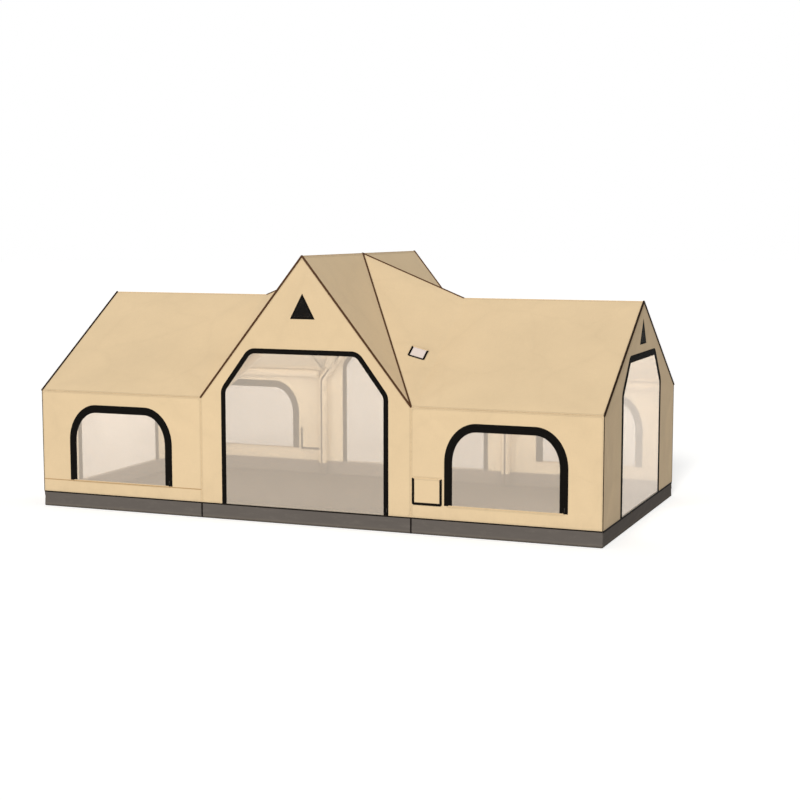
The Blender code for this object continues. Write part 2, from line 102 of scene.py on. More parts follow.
class Mat:
    """A node material with small helpers, so that each finish below reads as what it is."""

    def __init__(self, name):
        self.mat = bpy.data.materials.new(name)
        self.mat.use_nodes = True
        self.tree = self.mat.node_tree
        self.bsdf = self.tree.nodes["Principled BSDF"]
        self.out = self.tree.nodes["Material Output"]
        self.coord = self.tree.nodes.new("ShaderNodeTexCoord")

    def node(self, kind, **values):
        n = self.tree.nodes.new(kind)
        for key, value in values.items():
            if hasattr(n, key):
                setattr(n, key, value)
            else:
                n.inputs[key.replace("_", " ")].default_value = value
        return n

    def link(self, a, b):
        self.tree.links.new(a, b)
        return b

    def math(self, op, a, b=None, c=None, clamp=False):
        n = self.tree.nodes.new("ShaderNodeMath")
        n.operation, n.use_clamp = op, clamp
        for i, v in enumerate((a, b, c)):
            if v is None:
                continue
            if hasattr(v, "is_linked"):
                self.link(v, n.inputs[i])
            else:
                n.inputs[i].default_value = v
        return n.outputs[0]

    def xyz(self, socket):
        n = self.tree.nodes.new("ShaderNodeSeparateXYZ")
        self.link(socket, n.inputs[0])
        return n.outputs

    def noise(self, scale, detail=3.0, rough=0.5, stretch=None, coord="Object", distort=0.0):
        source = self.coord.outputs[coord]
        if stretch:
            m = self.tree.nodes.new("ShaderNodeMapping")
            m.inputs["Scale"].default_value = stretch
            self.link(source, m.inputs["Vector"])
            source = m.outputs[0]
        n = self.tree.nodes.new("ShaderNodeTexNoise")
        n.inputs["Scale"].default_value = scale
        n.inputs["Detail"].default_value = detail
        n.inputs["Roughness"].default_value = rough
        n.inputs["Distortion"].default_value = distort
        self.link(source, n.inputs["Vector"])
        return n.outputs["Fac"]

    def creases(self, scale, seed=0.0):
        """Thin lines left by folding, as the borders of warped cells: 1 on the line, 0 off it."""
        warp = self.noise(1.7, 2.0)
        m = self.tree.nodes.new("ShaderNodeMapping")
        m.inputs["Location"].default_value = (seed, seed * 0.7, seed * 1.3)
        self.link(self.coord.outputs["Object"], m.inputs["Vector"])
        add = self.tree.nodes.new("ShaderNodeVectorMath")
        add.operation = "ADD"
        self.link(m.outputs[0], add.inputs[0])
        lean = self.tree.nodes.new("ShaderNodeVectorMath")
        lean.operation = "SCALE"
        self.link(self.wide(warp), lean.inputs[0])
        lean.inputs["Scale"].default_value = 0.55
        self.link(lean.outputs[0], add.inputs[1])
        v = self.tree.nodes.new("ShaderNodeTexVoronoi")
        v.feature = "DISTANCE_TO_EDGE"
        v.inputs["Scale"].default_value = scale
        self.link(add.outputs[0], v.inputs["Vector"])
        return self.ramp(v.outputs["Distance"], [(0.0, 1.0), (0.035, 0.35), (0.10, 0.0)])

    def wide(self, value):
        n = self.tree.nodes.new("ShaderNodeCombineXYZ")
        for i in range(3):
            self.link(value, n.inputs[i])
        return n.outputs[0]

    def ramp(self, value, stops):
        n = self.tree.nodes.new("ShaderNodeValToRGB")
        n.color_ramp.elements[0].position, n.color_ramp.elements[0].color = stops[0][0], (*[stops[0][1]] * 3, 1)
        n.color_ramp.elements[1].position, n.color_ramp.elements[1].color = stops[-1][0], (*[stops[-1][1]] * 3, 1)
        for at, v in stops[1:-1]:
            e = n.color_ramp.elements.new(at)
            e.color = (v, v, v, 1)
        self.link(value, n.inputs[0])
        return n.outputs[0]

    def mix(self, fac, a, b, blend="MIX"):
        n = self.tree.nodes.new("ShaderNodeMix")
        n.data_type, n.blend_type = "RGBA", blend
        for socket, v in ((n.inputs[0], fac), (n.inputs[6], a), (n.inputs[7], b)):
            if hasattr(v, "is_linked"):
                self.link(v, socket)
            elif isinstance(v, (int, float)):
                socket.default_value = v
            else:
                socket.default_value = (*v, 1) if len(v) == 3 else v
        return n.outputs[2]

    def range(self, value, lo, hi, to_lo, to_hi):
        n = self.tree.nodes.new("ShaderNodeMapRange")
        for i, v in enumerate((value, lo, hi, to_lo, to_hi)):
            if hasattr(v, "is_linked"):
                self.link(v, n.inputs[i])
            else:
                n.inputs[i].default_value = v
        return n.outputs[0]

    def bump(self, height, distance, strength=1.0, normal=None):
        n = self.tree.nodes.new("ShaderNodeBump")
        n.inputs["Strength"].default_value = strength
        n.inputs["Distance"].default_value = distance
        self.link(height, n.inputs["Height"])
        if normal is not None:
            self.link(normal, n.inputs["Normal"])
        return n.outputs[0]

    def attribute(self, name):
        n = self.tree.nodes.new("ShaderNodeAttribute")
        n.attribute_name = name
        return n.outputs["Fac"]

    def weave(self, pitch):
        """A plain weave from the piece's own metre-wide UV: 0 to 1, threads over and under each other."""
        x, y, _ = self.xyz(self.coord.outputs["UV"])
        k = math.pi / pitch
        a = self.math("SINE", self.math("MULTIPLY", x, k))
        b = self.math("SINE", self.math("MULTIPLY", y, k))
        return self.math("MULTIPLY_ADD", self.math("MULTIPLY", a, b), 0.5, 0.5)


def canvas(name, colour, seed=0.0, dirt=1.0):
    """Proofed polycotton: plain weave with slubs, faint blotches, fold lines painted darker as painted shade, hems with
    twin rows of stitches, and a little soil above the ground."""
    m = Mat(name)
    slub_u = m.noise(1.0, 3.0, 0.6, (9, 420, 9), "UV")
    slub_v = m.noise(1.0, 3.0, 0.6, (420, 9, 9), "UV")
    slub = m.math("ADD", slub_u, slub_v)
    blotch = m.noise(0.9, 5.0, 0.62)
    tone = m.math("ADD", m.range(slub, 0.7, 1.3, 0.955, 1.045), m.range(blotch, 0.3, 0.7, -0.035, 0.035))
    fold = m.creases(0.85, seed)
    # the fold lines are painted a little darker: painted shade in the creases, on top of their bump
    tone = m.math("SUBTRACT", tone, m.math("MULTIPLY", fold, 0.024))
    # hems: the cloth is doubled next to each edge, and its two rows of thread lie in it
    d = m.attribute("edge")
    x, y, _ = m.xyz(m.coord.outputs["UV"])
    hem = m.ramp(m.math("MULTIPLY", d, 20.0), [(0.0, 1.0), (0.42, 1.0), (0.47, 0.0)])
    row = m.math("MAXIMUM", m.math("LESS_THAN", m.math("ABSOLUTE", m.math("SUBTRACT", d, 0.007)), 0.0009),
                 m.math("LESS_THAN", m.math("ABSOLUTE", m.math("SUBTRACT", d, 0.018)), 0.0009))
    dash = m.math("GREATER_THAN", m.math("SINE", m.math("MULTIPLY", m.math("ADD", x, y), 2 * math.pi / 0.0045)), -0.35)
    thread = m.math("MULTIPLY", row, dash)
    tone = m.math("SUBTRACT", tone, m.math("MULTIPLY", hem, 0.055))
    base = m.mix(1.0, colour, m.wide(tone), "MULTIPLY")
    base = m.mix(m.math("MULTIPLY", thread, 0.7), base, tuple(c * 0.55 for c in colour))
    _, _, z = m.xyz(m.coord.outputs["Object"])
    low = m.range(z, 0.20, 0.62, 1.0, 0.0)
    soil = m.math("MULTIPLY", m.math("MULTIPLY", low, low), m.range(m.noise(7.0, 6.0, 0.65), 0.35, 0.75, 0.0, 0.14 * dirt))
    base = m.mix(soil, base, srgb(150, 128, 96))
    m.link(base, m.bsdf.inputs["Base Color"])
    m.link(m.range(m.noise(3.0, 4.0), 0.3, 0.7, 0.80, 0.92), m.bsdf.inputs["Roughness"])
    m.bsdf.inputs["Specular IOR Level"].default_value = 0.25
    m.bsdf.inputs["Sheen Weight"].default_value = 0.08
    m.bsdf.inputs["Sheen Roughness"].default_value = 0.5
    weave = m.bump(m.weave(0.0011), 0.00014, 0.6)
    loose = m.bump(m.noise(2.6, 4.0, 0.55, (1.0, 1.0, 0.55)), 0.010, 0.55, weave)
    lines = m.bump(m.math("MULTIPLY", fold, -1.0), 0.0016, 0.6, loose)
    edge = m.bump(m.math("MULTIPLY_ADD", thread, -0.6, hem), 0.0012, 0.9, lines)
    m.link(edge, m.bsdf.inputs["Normal"])
    return m.mat


def webbing(name, colour, thread, rib=0.0016, width_rows=(), rough=0.60, shine=0.16):
    """Woven tape: ribs across it and a herringbone along it, with its rows of stitches."""
    m = Mat(name)
    x, y, _ = m.xyz(m.coord.outputs["UV"])
    k = math.pi / rib
    zig = m.math("PINGPONG", y, 0.004)
    twill = m.math("SINE", m.math("MULTIPLY", m.math("ADD", x, zig), 2 * k))
    height = m.math("MULTIPLY_ADD", twill, 0.5, 0.5)
    tone = m.range(m.math("ADD", height, m.noise(60, 3.0)), 0.3, 1.7, 0.75, 1.35)
    base = m.mix(1.0, colour, m.wide(tone), "MULTIPLY")
    stitches = None
    for at in width_rows:
        row = m.math("LESS_THAN", m.math("ABSOLUTE", m.math("SUBTRACT", y, at)), 0.0008)
        stitches = row if stitches is None else m.math("MAXIMUM", stitches, row)
    if stitches is not None:
        dash = m.math("GREATER_THAN", m.math("SINE", m.math("MULTIPLY", x, 2 * math.pi / 0.0042)), -0.4)
        stitches = m.math("MULTIPLY", stitches, dash)
        base = m.mix(stitches, base, thread)
    m.link(base, m.bsdf.inputs["Base Color"])
    m.link(m.range(m.noise(25, 3.0), 0.3, 0.7, rough - 0.08, rough + 0.10), m.bsdf.inputs["Roughness"])
    m.bsdf.inputs["Specular IOR Level"].default_value = shine
    m.link(m.bump(height, 0.0002, 0.7), m.bsdf.inputs["Normal"])
    return m.mat


def netting(name, colour, alpha, pitch=0.0024):
    """Fine insect net: knotted threads over see-through holes."""
    m = Mat(name)
    x, y, _ = m.xyz(m.coord.outputs["UV"])
    k = math.pi / pitch
    lines = m.math("MAXIMUM", m.math("ABSOLUTE", m.math("COSINE", m.math("MULTIPLY", x, k))),
                   m.math("ABSOLUTE", m.math("COSINE", m.math("MULTIPLY", y, k))))
    thread = m.ramp(lines, [(0.70, 0.0), (0.95, 1.0)])
    base = m.mix(thread, tuple(c * 0.93 for c in colour), tuple(min(1, c * 1.05) for c in colour))
    base = m.mix(m.range(m.noise(1.3, 3.0), 0.3, 0.7, 0.0, 0.12), base, tuple(c * 0.8 for c in colour))
    m.link(base, m.bsdf.inputs["Base Color"])
    m.bsdf.inputs["Roughness"].default_value = 0.75
    m.bsdf.inputs["Specular IOR Level"].default_value = 0.1
    m.bsdf.inputs["Alpha"].default_value = alpha
    m.link(m.bump(m.math("ADD", thread, m.noise(2.2, 3.0)), 0.0002, 0.5), m.bsdf.inputs["Normal"])
    m.mat.surface_render_method = "DITHERED"
    return m.mat


def coated(name, colour):
    """Heavy coated groundsheet: leathery grain, scuffs and dust, painted shade over all of it below 3 cm, quite matt.
    """
    m = Mat(name)
    grain = m.noise(260, 4.0, 0.6)
    scuff = m.ramp(m.noise(5.0, 8.0, 0.75, (1, 1, 3)), [(0.52, 0.0), (0.72, 1.0)])
    base = m.mix(m.math("MULTIPLY", scuff, 0.20), colour, srgb(150, 140, 128))
    base = m.mix(m.range(m.noise(1.1, 4.0), 0.3, 0.7, 0.0, 0.22), base, tuple(c * 0.72 for c in colour))
    _, _, z = m.xyz(m.coord.outputs["Object"])
    dust = m.math("MULTIPLY", m.range(z, 0.0, 0.055, 0.45, 0.0), m.noise(18, 5.0, 0.7))
    base = m.mix(dust, base, srgb(168, 152, 128))
    # everything below 3 cm, the floor inside and the foot outside, is painted much darker: painted shade
    base = m.mix(m.range(z, 0.012, 0.030, 0.62, 0.0), base, tuple(c * 0.25 for c in colour))
    m.link(base, m.bsdf.inputs["Base Color"])
    m.link(m.range(m.math("ADD", grain, scuff), 0.3, 1.6, 0.62, 0.90), m.bsdf.inputs["Roughness"])
    m.bsdf.inputs["Specular IOR Level"].default_value = 0.0
    fine = m.bump(grain, 0.0005, 0.6)
    m.link(m.bump(m.math("ADD", m.noise(3.2, 3.0, 0.5), m.math("MULTIPLY", m.creases(1.3, 3.0), -0.25)), 0.006, 0.6, fine),
           m.bsdf.inputs["Normal"])
    return m.mat


def sleeve(name, colour):
    """Air beam sleeve: tight ripstop over a hard tube, with faint ring creases."""
    m = Mat(name)
    x, y, _ = m.xyz(m.coord.outputs["UV"])
    grid = m.math("MAXIMUM", m.math("GREATER_THAN", m.math("COSINE", m.math("MULTIPLY", x, 2 * math.pi / 0.006)), 0.93),
                  m.math("GREATER_THAN", m.math("COSINE", m.math("MULTIPLY", y, 2 * math.pi / 0.006)), 0.93))
    rings = m.noise(1.0, 3.0, 0.55, (34, 5, 1), "UV")
    seam = m.math("LESS_THAN", m.math("ABSOLUTE", m.math("SUBTRACT", y, 0.30)), 0.006)
    tone = m.math("ADD", m.range(rings, 0.3, 0.7, 0.94, 1.05), m.math("MULTIPLY", grid, -0.05))
    tone = m.math("SUBTRACT", tone, m.math("MULTIPLY", seam, 0.16))
    m.link(m.mix(1.0, colour, m.wide(tone), "MULTIPLY"), m.bsdf.inputs["Base Color"])
    m.link(m.range(rings, 0.3, 0.7, 0.55, 0.72), m.bsdf.inputs["Roughness"])
    m.bsdf.inputs["Specular IOR Level"].default_value = 0.3
    first = m.bump(grid, 0.0003, 0.6)
    m.link(m.bump(m.math("ADD", rings, m.math("MULTIPLY", seam, 0.3)), 0.004, 0.5, first), m.bsdf.inputs["Normal"])
    return m.mat


def hard(name, colour, rough, metal=0.0, grain=120.0, worn=None):
    m = Mat(name)
    wear = m.ramp(m.noise(grain * 0.6, 5.0, 0.7), [(0.50, 0.0), (0.68, 1.0)])
    m.link(m.mix(m.math("MULTIPLY", wear, 0.35), colour, worn or tuple(min(1, c * 1.6) for c in colour)),
           m.bsdf.inputs["Base Color"])
    m.bsdf.inputs["Metallic"].default_value = metal
    m.link(m.range(m.noise(grain, 4.0), 0.3, 0.7, rough - 0.08, rough + 0.10), m.bsdf.inputs["Roughness"])
    m.link(m.bump(m.noise(grain * 8, 3.0), 0.00012, 0.5), m.bsdf.inputs["Normal"])
    return m.mat


LEVEL = 1.0  # how much light falls on the front wall, so that a colour seen in it is this much above its own
def seen(r, g, b, level=LEVEL):
    return tuple(c / level for c in srgb(r, g, b))


SAND_WALL = canvas("sand_canvas", seen(234, 206, 164), 0.0)
SAND_ROOF = canvas("sand_canvas_roof", seen(232, 205, 164), 5.0, dirt=0.0)
# the end walls' canvas is a darker copy of the wall canvas: painted shade for the end walls
SAND_END_SHADED = canvas("sand_canvas_end_painted_shade", seen(225, 196, 154), 9.0)
LINING = canvas("pale_lining", seen(236, 222, 197), 3.0, dirt=0.0)
SLATE = coated("slate_groundsheet", seen(106, 99, 93))
# a lighter copy of the groundsheet for the inner face of the upstand: painted light
SLATE_INNER_PAINTED_LIGHT = coated("slate_upstand_inside_painted_light", seen(122, 114, 108))
SLATE_SEAM = webbing("groundsheet_seam_tape", seen(30, 25, 22), seen(70, 62, 56), rough=0.75, shine=0.06)
BLACK_TAPE = webbing("black_zip_tape", (0.0056, 0.0047, 0.0038), (0.020, 0.017, 0.014), width_rows=(0.004, 0.024, 0.045), rough=0.80, shine=0.05)
BLACK_COIL = webbing("black_zip_coil", (0.0060, 0.0052, 0.0046), (0.02, 0.02, 0.02), rib=0.0012, rough=0.70, shine=0.06)
BROWN_PIPE = webbing("brown_piping", seen(84, 54, 30), seen(120, 92, 62))
# a darker copy of the piping for the end rafters and end corners: the piping is real, its darker tone is painted shade
# under the end roof edge and at the corners
DARK_PIPE_SHADED = webbing("dark_piping_painted_shade", seen(46, 31, 20), seen(84, 66, 46), rough=0.70, shine=0.08)
SAND_TAPE = webbing("sand_seam_tape", seen(227, 198, 156), seen(196, 166, 126), width_rows=(0.003, 0.009))
SILL_TAPE = webbing("sill_seam_tape", seen(192, 156, 112), seen(156, 124, 88), width_rows=(0.003, 0.009))
SLEEVE_ZIP = webbing("sleeve_zip", seen(72, 60, 47), seen(52, 43, 33), rib=0.0014)
NET_HEM = webbing("net_hem", seen(178, 165, 148), seen(140, 128, 112), width_rows=(0.004,))
NET = netting("insect_net", seen(226, 213, 197), 0.35)
NET_END = netting("insect_net_close", seen(240, 230, 219), 0.45)
NET_BLACK = netting("vent_net", seen(17, 15, 14), 0.93)
PALE_CLOTH = canvas("pale_flue_cloth", seen(238, 222, 212), 2.0, dirt=0.0)
SLEEVE = sleeve("beam_sleeve", seen(236, 221, 196))
ZINC = hard("dark_zinc", seen(58, 54, 50), 0.38, 1.0, worn=(0.20, 0.19, 0.18))
NYLON = hard("black_nylon", (0.022, 0.022, 0.024), 0.45)


# ---------------------------------------------------------------- outlines, the same as the frame's
def corner(before, here, after, radius, steps=9):
    before, here, after = Vector(before), Vector(here), Vector(after)
    a, b = (before - here).normalized(), (after - here).normalized()
    half = a.angle(b) / 2
    back = radius / math.tan(half)
    centre = here + (a + b).normalized() * (radius / math.sin(half))
    start, end = here + a * back - centre, here + b * back - centre
    sweep = start.angle(end)
    ring = []
    for n in range(steps + 1):
        t = n / steps
        ring.append(tuple(centre + (math.sin((1 - t) * sweep) * start + math.sin(t * sweep) * end) / math.sin(sweep)))
    return ring


def door_arch(door, grow, bottom):
    knee, shoulder = Vector((door["half"], door["knee"])), Vector((door["shoulder"], door["top"]))
    along = (shoulder - knee).normalized()
    out = Vector((along.y, -along.x))
    level = out.dot(knee) + grow
    x, top = door["half"] + grow, door["top"] + grow
    knee = Vector((x, (level - out.x * x) / out.y))
    shoulder = Vector(((level - out.y * top) / out.x, top))
    radius = door["round"] + grow
    right = [(x, bottom)] + corner((x, bottom), knee, shoulder, radius) + corner(knee, shoulder, (0, top), radius)
    return right + [(-px, pz) for px, pz in reversed(right)]


def window_arch(grow, bottom, steps=16, wide=0.0):
    half, top = WINDOW["half"] + grow, WINDOW["top"] + grow
    rx, rz = WINDOW["rx"] + grow, WINDOW["rz"] + grow
    right = [(half, bottom)]
    for n in range(steps + 1):
        a = math.pi / 2 * n / steps
        right.append((half - rx + rx * math.cos(a), top - rz + rz * math.sin(a)))
    return right + [(-px, pz) for px, pz in reversed(right)]


def moved(ring, dx):
    return [(x + dx, z) for x, z in ring]


def triangle(base, shrink):
    half, rise = VENT["half"], VENT["rise"]
    lean = math.hypot(half, rise)
    return [(half - shrink * (lean + half) / rise, base + shrink), (0, base + rise - shrink * lean / half),
            (-half + shrink * (lean + half) / rise, base + shrink)]


# ---------------------------------------------------------------- mesh tools
def new_object(name, verts, faces, material, uvs=None, smooth=True, edge=None, sharp=35):
    mesh = bpy.data.meshes.new(name)
    mesh.from_pydata([tuple(v) for v in verts], [], faces)
    mesh.update()
    if uvs is not None:
        layer = mesh.uv_layers.new(name="UVMap")
        index = np.empty(len(mesh.loops), np.int32)
        mesh.loops.foreach_get("vertex_index", index)
        layer.data.foreach_set("uv", np.asarray(uvs, np.float32)[index].ravel())
    if edge is not None:
        a = mesh.attributes.new("edge", "FLOAT", "POINT")
        a.data.foreach_set("value", np.asarray(edge, np.float32))
    if smooth:
        mesh.shade_smooth()
        mesh.set_sharp_from_angle(angle=math.radians(sharp))
    obj = bpy.data.objects.new(name, mesh)
    bpy.context.scene.collection.objects.link(obj)
    obj.data.materials.append(material)
    return obj


def piece(obj, body, replaces=()):
    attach(obj, body)
    if replaces:
        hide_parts(*replaces)
    return obj


def resampled(ring, step):
    points = []
    for a, b in zip(ring, ring[1:] + ring[:1]):
        a, b = np.array(a, float), np.array(b, float)
        n = max(1, int(math.ceil(np.linalg.norm(b - a) / step)))
        points += [a + (b - a) * i / n for i in range(n)]
    return np.array(points)


def inside(points, ring):
    x, y = points[:, 0], points[:, 1]
    hit = np.zeros(len(points), bool)
    ring = np.asarray(ring)
    for (ax, ay), (bx, by) in zip(ring, np.roll(ring, -1, axis=0)):
        if ay == by:
            continue
        cross = ((ay > y) != (by > y)) & (x < (bx - ax) * (y - ay) / (by - ay) + ax)
        hit ^= cross
    return hit


def distance(points, a, b):
    """Distance of each point to each segment a[i]-b[i], as an array of points by segments."""
    ab = b - a
    t = ((points[:, None, :] - a[None]) * ab[None]).sum(2) / np.maximum((ab * ab).sum(1)[None], 1e-12)
    near = a[None] + np.clip(t, 0, 1)[..., None] * ab[None]
    return np.linalg.norm(points[:, None, :] - near, axis=2)


def to_rings(points, rings):
    a = np.concatenate([np.asarray(r, float) for r in rings])
    b = np.concatenate([np.roll(np.asarray(r, float), -1, axis=0) for r in rings])
    out = np.empty(len(points))
    for i in range(0, len(points), 4000):
        out[i:i + 4000] = distance(points[i:i + 4000], a, b).min(1)
    return out


def filled(outline, holes, step, lines=(), hems=()):
    """Even triangles inside the outline and outside the holes, with edges along the rings and lines,
    and a row of points at each of the hems' distances from the rings.
    Returns 2D points, triangles, and each point's distance to the nearest ring."""
    verts, edges = [], []
    rings = [list(map(tuple, outline)), *[list(map(tuple, h)) for h in holes]]
    for ring in rings:
        pts = resampled([np.array(p) for p in ring], step)
        base, n = len(verts), len(pts)
        verts += [tuple(p) for p in pts]
        edges += [(base + i, base + (i + 1) % n) for i in range(n)]
    for line in lines:
        a, b = np.array(line[0], float), np.array(line[1], float)
        n = max(1, int(math.ceil(np.linalg.norm(b - a) / step)))
        base = len(verts)
        verts += [tuple(a + (b - a) * i / n) for i in range(n + 1)]
        edges += [(base + i, base + i + 1) for i in range(n)]
    fixed = np.array(verts)
    lo, hi = fixed.min(0), fixed.max(0)
    rows = int((hi[1] - lo[1]) / (step * 0.866)) + 2
    cols = int((hi[0] - lo[0]) / step) + 2
    gx, gy = np.meshgrid(np.arange(cols), np.arange(rows))
    grid = np.stack([lo[0] + (gx + 0.5 * (gy % 2)) * step, lo[1] + gy * step * 0.866], 2).reshape(-1, 2)
    keep = inside(grid, rings[0])
    for hole in rings[1:]:
        keep &= ~inside(grid, hole)
    grid = grid[keep]
    grid = grid[to_rings(grid, rings) > max([step * 0.5] + [d + 0.012 for d in hems])]
    for d in hems:
        row = []
        for ring in rings:
            pts = np.array(resampled([np.array(p) for p in ring], 0.04))
            along = np.roll(pts, -1, axis=0) - pts
            length = np.linalg.norm(along, axis=1)
            pts, along = pts[length > 1e-6], along[length > 1e-6] / length[length > 1e-6, None]
            normal = np.stack([-along[:, 1], along[:, 0]], 1)
            mid = pts + along * length[length > 1e-6, None] * 0.5
            row += [mid + normal * d, mid - normal * d]
        row = np.concatenate(row)
        keep = inside(row, rings[0])
        for hole in rings[1:]:
            keep &= ~inside(row, hole)
        row = row[keep]
        row = row[to_rings(row, rings) > d - 0.0002]
        grid = np.concatenate([grid, row])
    for line in lines:
        a, b = np.array([line[0]], float), np.array([line[1]], float)
        grid = grid[distance(grid, a, b)[:, 0] > min(step * 0.5, *([0.006] if hems else [step]))]
    every = [Vector(p) for p in verts] + [Vector(p) for p in grid]
    out_v, _, out_f, *_ = geometry.delaunay_2d_cdt(every, edges, [], 1, 1e-7)
    pts = np.array([tuple(v) for v in out_v])
    tris = np.array([f for f in out_f if len(f) == 3])
    middle = pts[tris].mean(1)
    keep = inside(middle, rings[0])
    for hole in rings[1:]:
        keep &= ~inside(middle, hole)
    tris = tris[keep]
    a, b, c = pts[tris[:, 0]], pts[tris[:, 1]], pts[tris[:, 2]]
    area = (b[:, 0] - a[:, 0]) * (c[:, 1] - a[:, 1]) - (b[:, 1] - a[:, 1]) * (c[:, 0] - a[:, 0])
    tris = tris[np.abs(area) > 1e-9]
    area = area[np.abs(area) > 1e-9]
    tris[area < 0] = tris[area < 0][:, ::-1]
    used = np.unique(tris)
    index = np.full(len(pts), -1)
    index[used] = np.arange(len(used))
    return pts[used], index[tris], to_rings(pts[used], rings)


def solid_sheet(name, top, tris, down, material, uv, edge, sharp=50, inner=None):
    """A closed thin cloth: the surface top, its copy moved by down, and a rim between them. inner is
    the finish of the copy, where the cloth has another one inside."""
    top = np.asarray(top, float)
    n = len(top)
    verts = np.concatenate([top, top + down])
    ends = np.concatenate([tris[:, [0, 1]], tris[:, [1, 2]], tris[:, [2, 0]]])
    key = {}
    for a, b in ends:
        key[(int(a), int(b))] = True
    rim = [(a, b) for (a, b) in key if (b, a) not in key]
    faces = [tuple(int(i) for i in t) for t in tris]
    faces += [tuple(int(i) + n for i in t[::-1]) for t in tris]
    faces += [(b, a, a + n, b + n) for a, b in rim]
    obj = new_object(name, verts, faces, material, np.concatenate([uv, uv]), True, np.concatenate([edge, edge]), sharp)
    if inner is not None:
        obj.data.materials.append(inner)
        side = np.zeros(len(faces), np.int32)
        side[len(tris):2 * len(tris)] = 1
        obj.data.polygons.foreach_set("material_index", side)
    return obj


RNG = np.random.default_rng(8)


def ripple(x, y, length, seed, waves=7, lean=None):
    """Smooth random folds of about that wavelength, -1 to 1. lean turns them mostly across that angle."""
    rng = np.random.default_rng(seed)
    total = np.zeros_like(x)
    for _ in range(waves):
        angle = rng.uniform(0, math.pi) if lean is None else rng.normal(lean, 0.28)
        k = 2 * math.pi / (length * rng.uniform(0.7, 1.6))
        total += np.sin(k * (x * math.cos(angle) + y * math.sin(angle)) + rng.uniform(0, 2 * math.pi))
    return total / math.sqrt(waves) / 1.4


def step_up(x, lo, hi):
    t = np.clip((x - lo) / (hi - lo), 0, 1)
    return t * t * (3 - 2 * t)


def pulls(x, y, anchors, seed, reach=0.9, height=0.004, count=9):
    """Tension creases that run out from points where the cloth is held."""
    rng = np.random.default_rng(seed)
    total = np.zeros_like(x)
    for ax, ay, size in anchors:
        r, a = np.hypot(x - ax, y - ay), np.arctan2(y - ay, x - ax)
        phase, k = rng.uniform(0, 6.28), count * rng.uniform(0.8, 1.25)
        sharp = np.sin(k * a + phase + 0.6 * np.sin(3 * a + phase))
        sharp = np.sign(sharp) * np.abs(sharp) ** 0.8
        total += size * sharp * np.exp(-r / reach) * step_up(r, 0.03, 0.30)
    return height * total


def ring_area(ring):
    r = np.asarray(ring, float)
    n = np.roll(r, -1, axis=0)
    return abs((r[:, 0] * n[:, 1] - n[:, 0] * r[:, 1]).sum() / 2)


def declared(obj, outline, holes=(), stretch=(1.0, 1.0)):
    """Works out a cloth's cut from its outline in its own plane, each way longer by stretch: its width, height and
    area, which are not kept; the object is returned as it was.
    """
    r = np.asarray(outline, float)
    w, h = np.ptp(r[:, 0]) * stretch[0], np.ptp(r[:, 1]) * stretch[1]
    area = (ring_area(outline) - sum(ring_area(k) for k in holes)) * stretch[0] * stretch[1]
    area = min(max(area, 0.301 * w * h), w * h)
    return obj


HEM_ROWS = (0.0125, 0.0255)


def wall_sheet(name, outline, holes, face, material, anchors, seed, rests, slack=0.012, step=0.055, body="tent", puckers=(), top_z=0.0, sewn=()):
    """A wall: flat along its edges, its openings and the lines sewn across it, slack between them, with
    creases from its corners."""
    pts, tris, edge = filled(outline, holes, step, sewn, HEM_ROWS)
    x, y = pts[:, 0], pts[:, 1]
    outer = to_rings(pts, [outline])
    calm = np.ones(len(pts))
    for a, b in sewn:
        calm *= step_up(distance(pts, np.array([a], float), np.array([b], float))[:, 0], 0.010, 0.16)
    quiet = step_up(edge, 0.045, 0.14) * calm
    z = -slack * step_up(outer, 0.10, 0.75) * quiet
    z += quiet * (pulls(x, y, anchors, seed) + 0.0022 * ripple(x, y, 0.55, seed + 1) + 0.0010 * ripple(x, y, 0.20, seed + 2))
    for level, size, length in puckers:
        z += size * np.sin(2 * math.pi * x / length + 2.0 * ripple(x, y, 0.9, seed + 5)) * np.exp(-np.abs(y - level) / 0.10) * step_up(edge, 0.020, 0.09) * calm
    # the air beams behind the outer edges press it out a little
    z += 0.003 * np.exp(-((outer - 0.072) / 0.045) ** 2) * step_up(edge, 0.022, 0.065) * calm
    z = np.minimum(z, 0.007) + top_z
    world = np.array([tuple(face @ Vector((a, b, c))) for a, b, c in zip(x, y, z)])
    down = -np.array(face.to_3x3().col[2]) * CLOTH
    obj = solid_sheet(name, world, tris, down, material, pts, edge, inner=LINING)
    piece(obj, body, [name[:-6]])
    return obj


def ribbon(name, inner, outer, face, profile, material, closed=False):
    """A tape between two lines of points in a face's plane. profile is its cross-section as a closed
    loop of (share of the way from inner to outer, height), anticlockwise seen along the tape."""
    inner, outer = np.array(inner, float), np.array(outer, float)
    middle = (inner + outer) / 2
    run = np.concatenate([[0], np.cumsum(np.linalg.norm(np.diff(middle, axis=0), axis=1))])
    wide = float(np.median(np.linalg.norm(outer - inner, axis=1)))
    verts, uvs, faces = [], [], []
    m, n = len(profile), len(inner)
    for i in range(n):
        for t, h in profile:
            p = inner[i] + (outer[i] - inner[i]) * t
            verts.append(tuple(face @ Vector((p[0], p[1], h))))
            uvs.append((run[i], t * wide))
    for i in range(n - 1 if not closed else n):
        j = (i + 1) % n
        for k in range(m):
            l = (k + 1) % m
            faces.append((i * m + k, j * m + k, j * m + l, i * m + l))
    if not closed:
        faces.append(tuple(range(m)))
        faces.append(tuple(reversed(range((n - 1) * m, n * m))))
    obj = new_object(name, verts, faces, material, uvs, True, sharp=38)
    fix_normals(obj)
    return obj


def fix_normals(obj):
    work = bmesh.new()
    work.from_mesh(obj.data)
    bmesh.ops.recalc_face_normals(work, faces=work.faces)
    work.to_mesh(obj.data)
    work.free()


def dense(line, step=0.12):
    """The open line with extra points on its long runs."""
    out = []
    for a, b in zip(line, line[1:]):
        a, b = np.array(a, float), np.array(b, float)
        n = max(1, int(math.ceil(np.linalg.norm(b - a) / step)))
        out += [tuple(a + (b - a) * i / n) for i in range(n)]
    return out + [tuple(line[-1])]


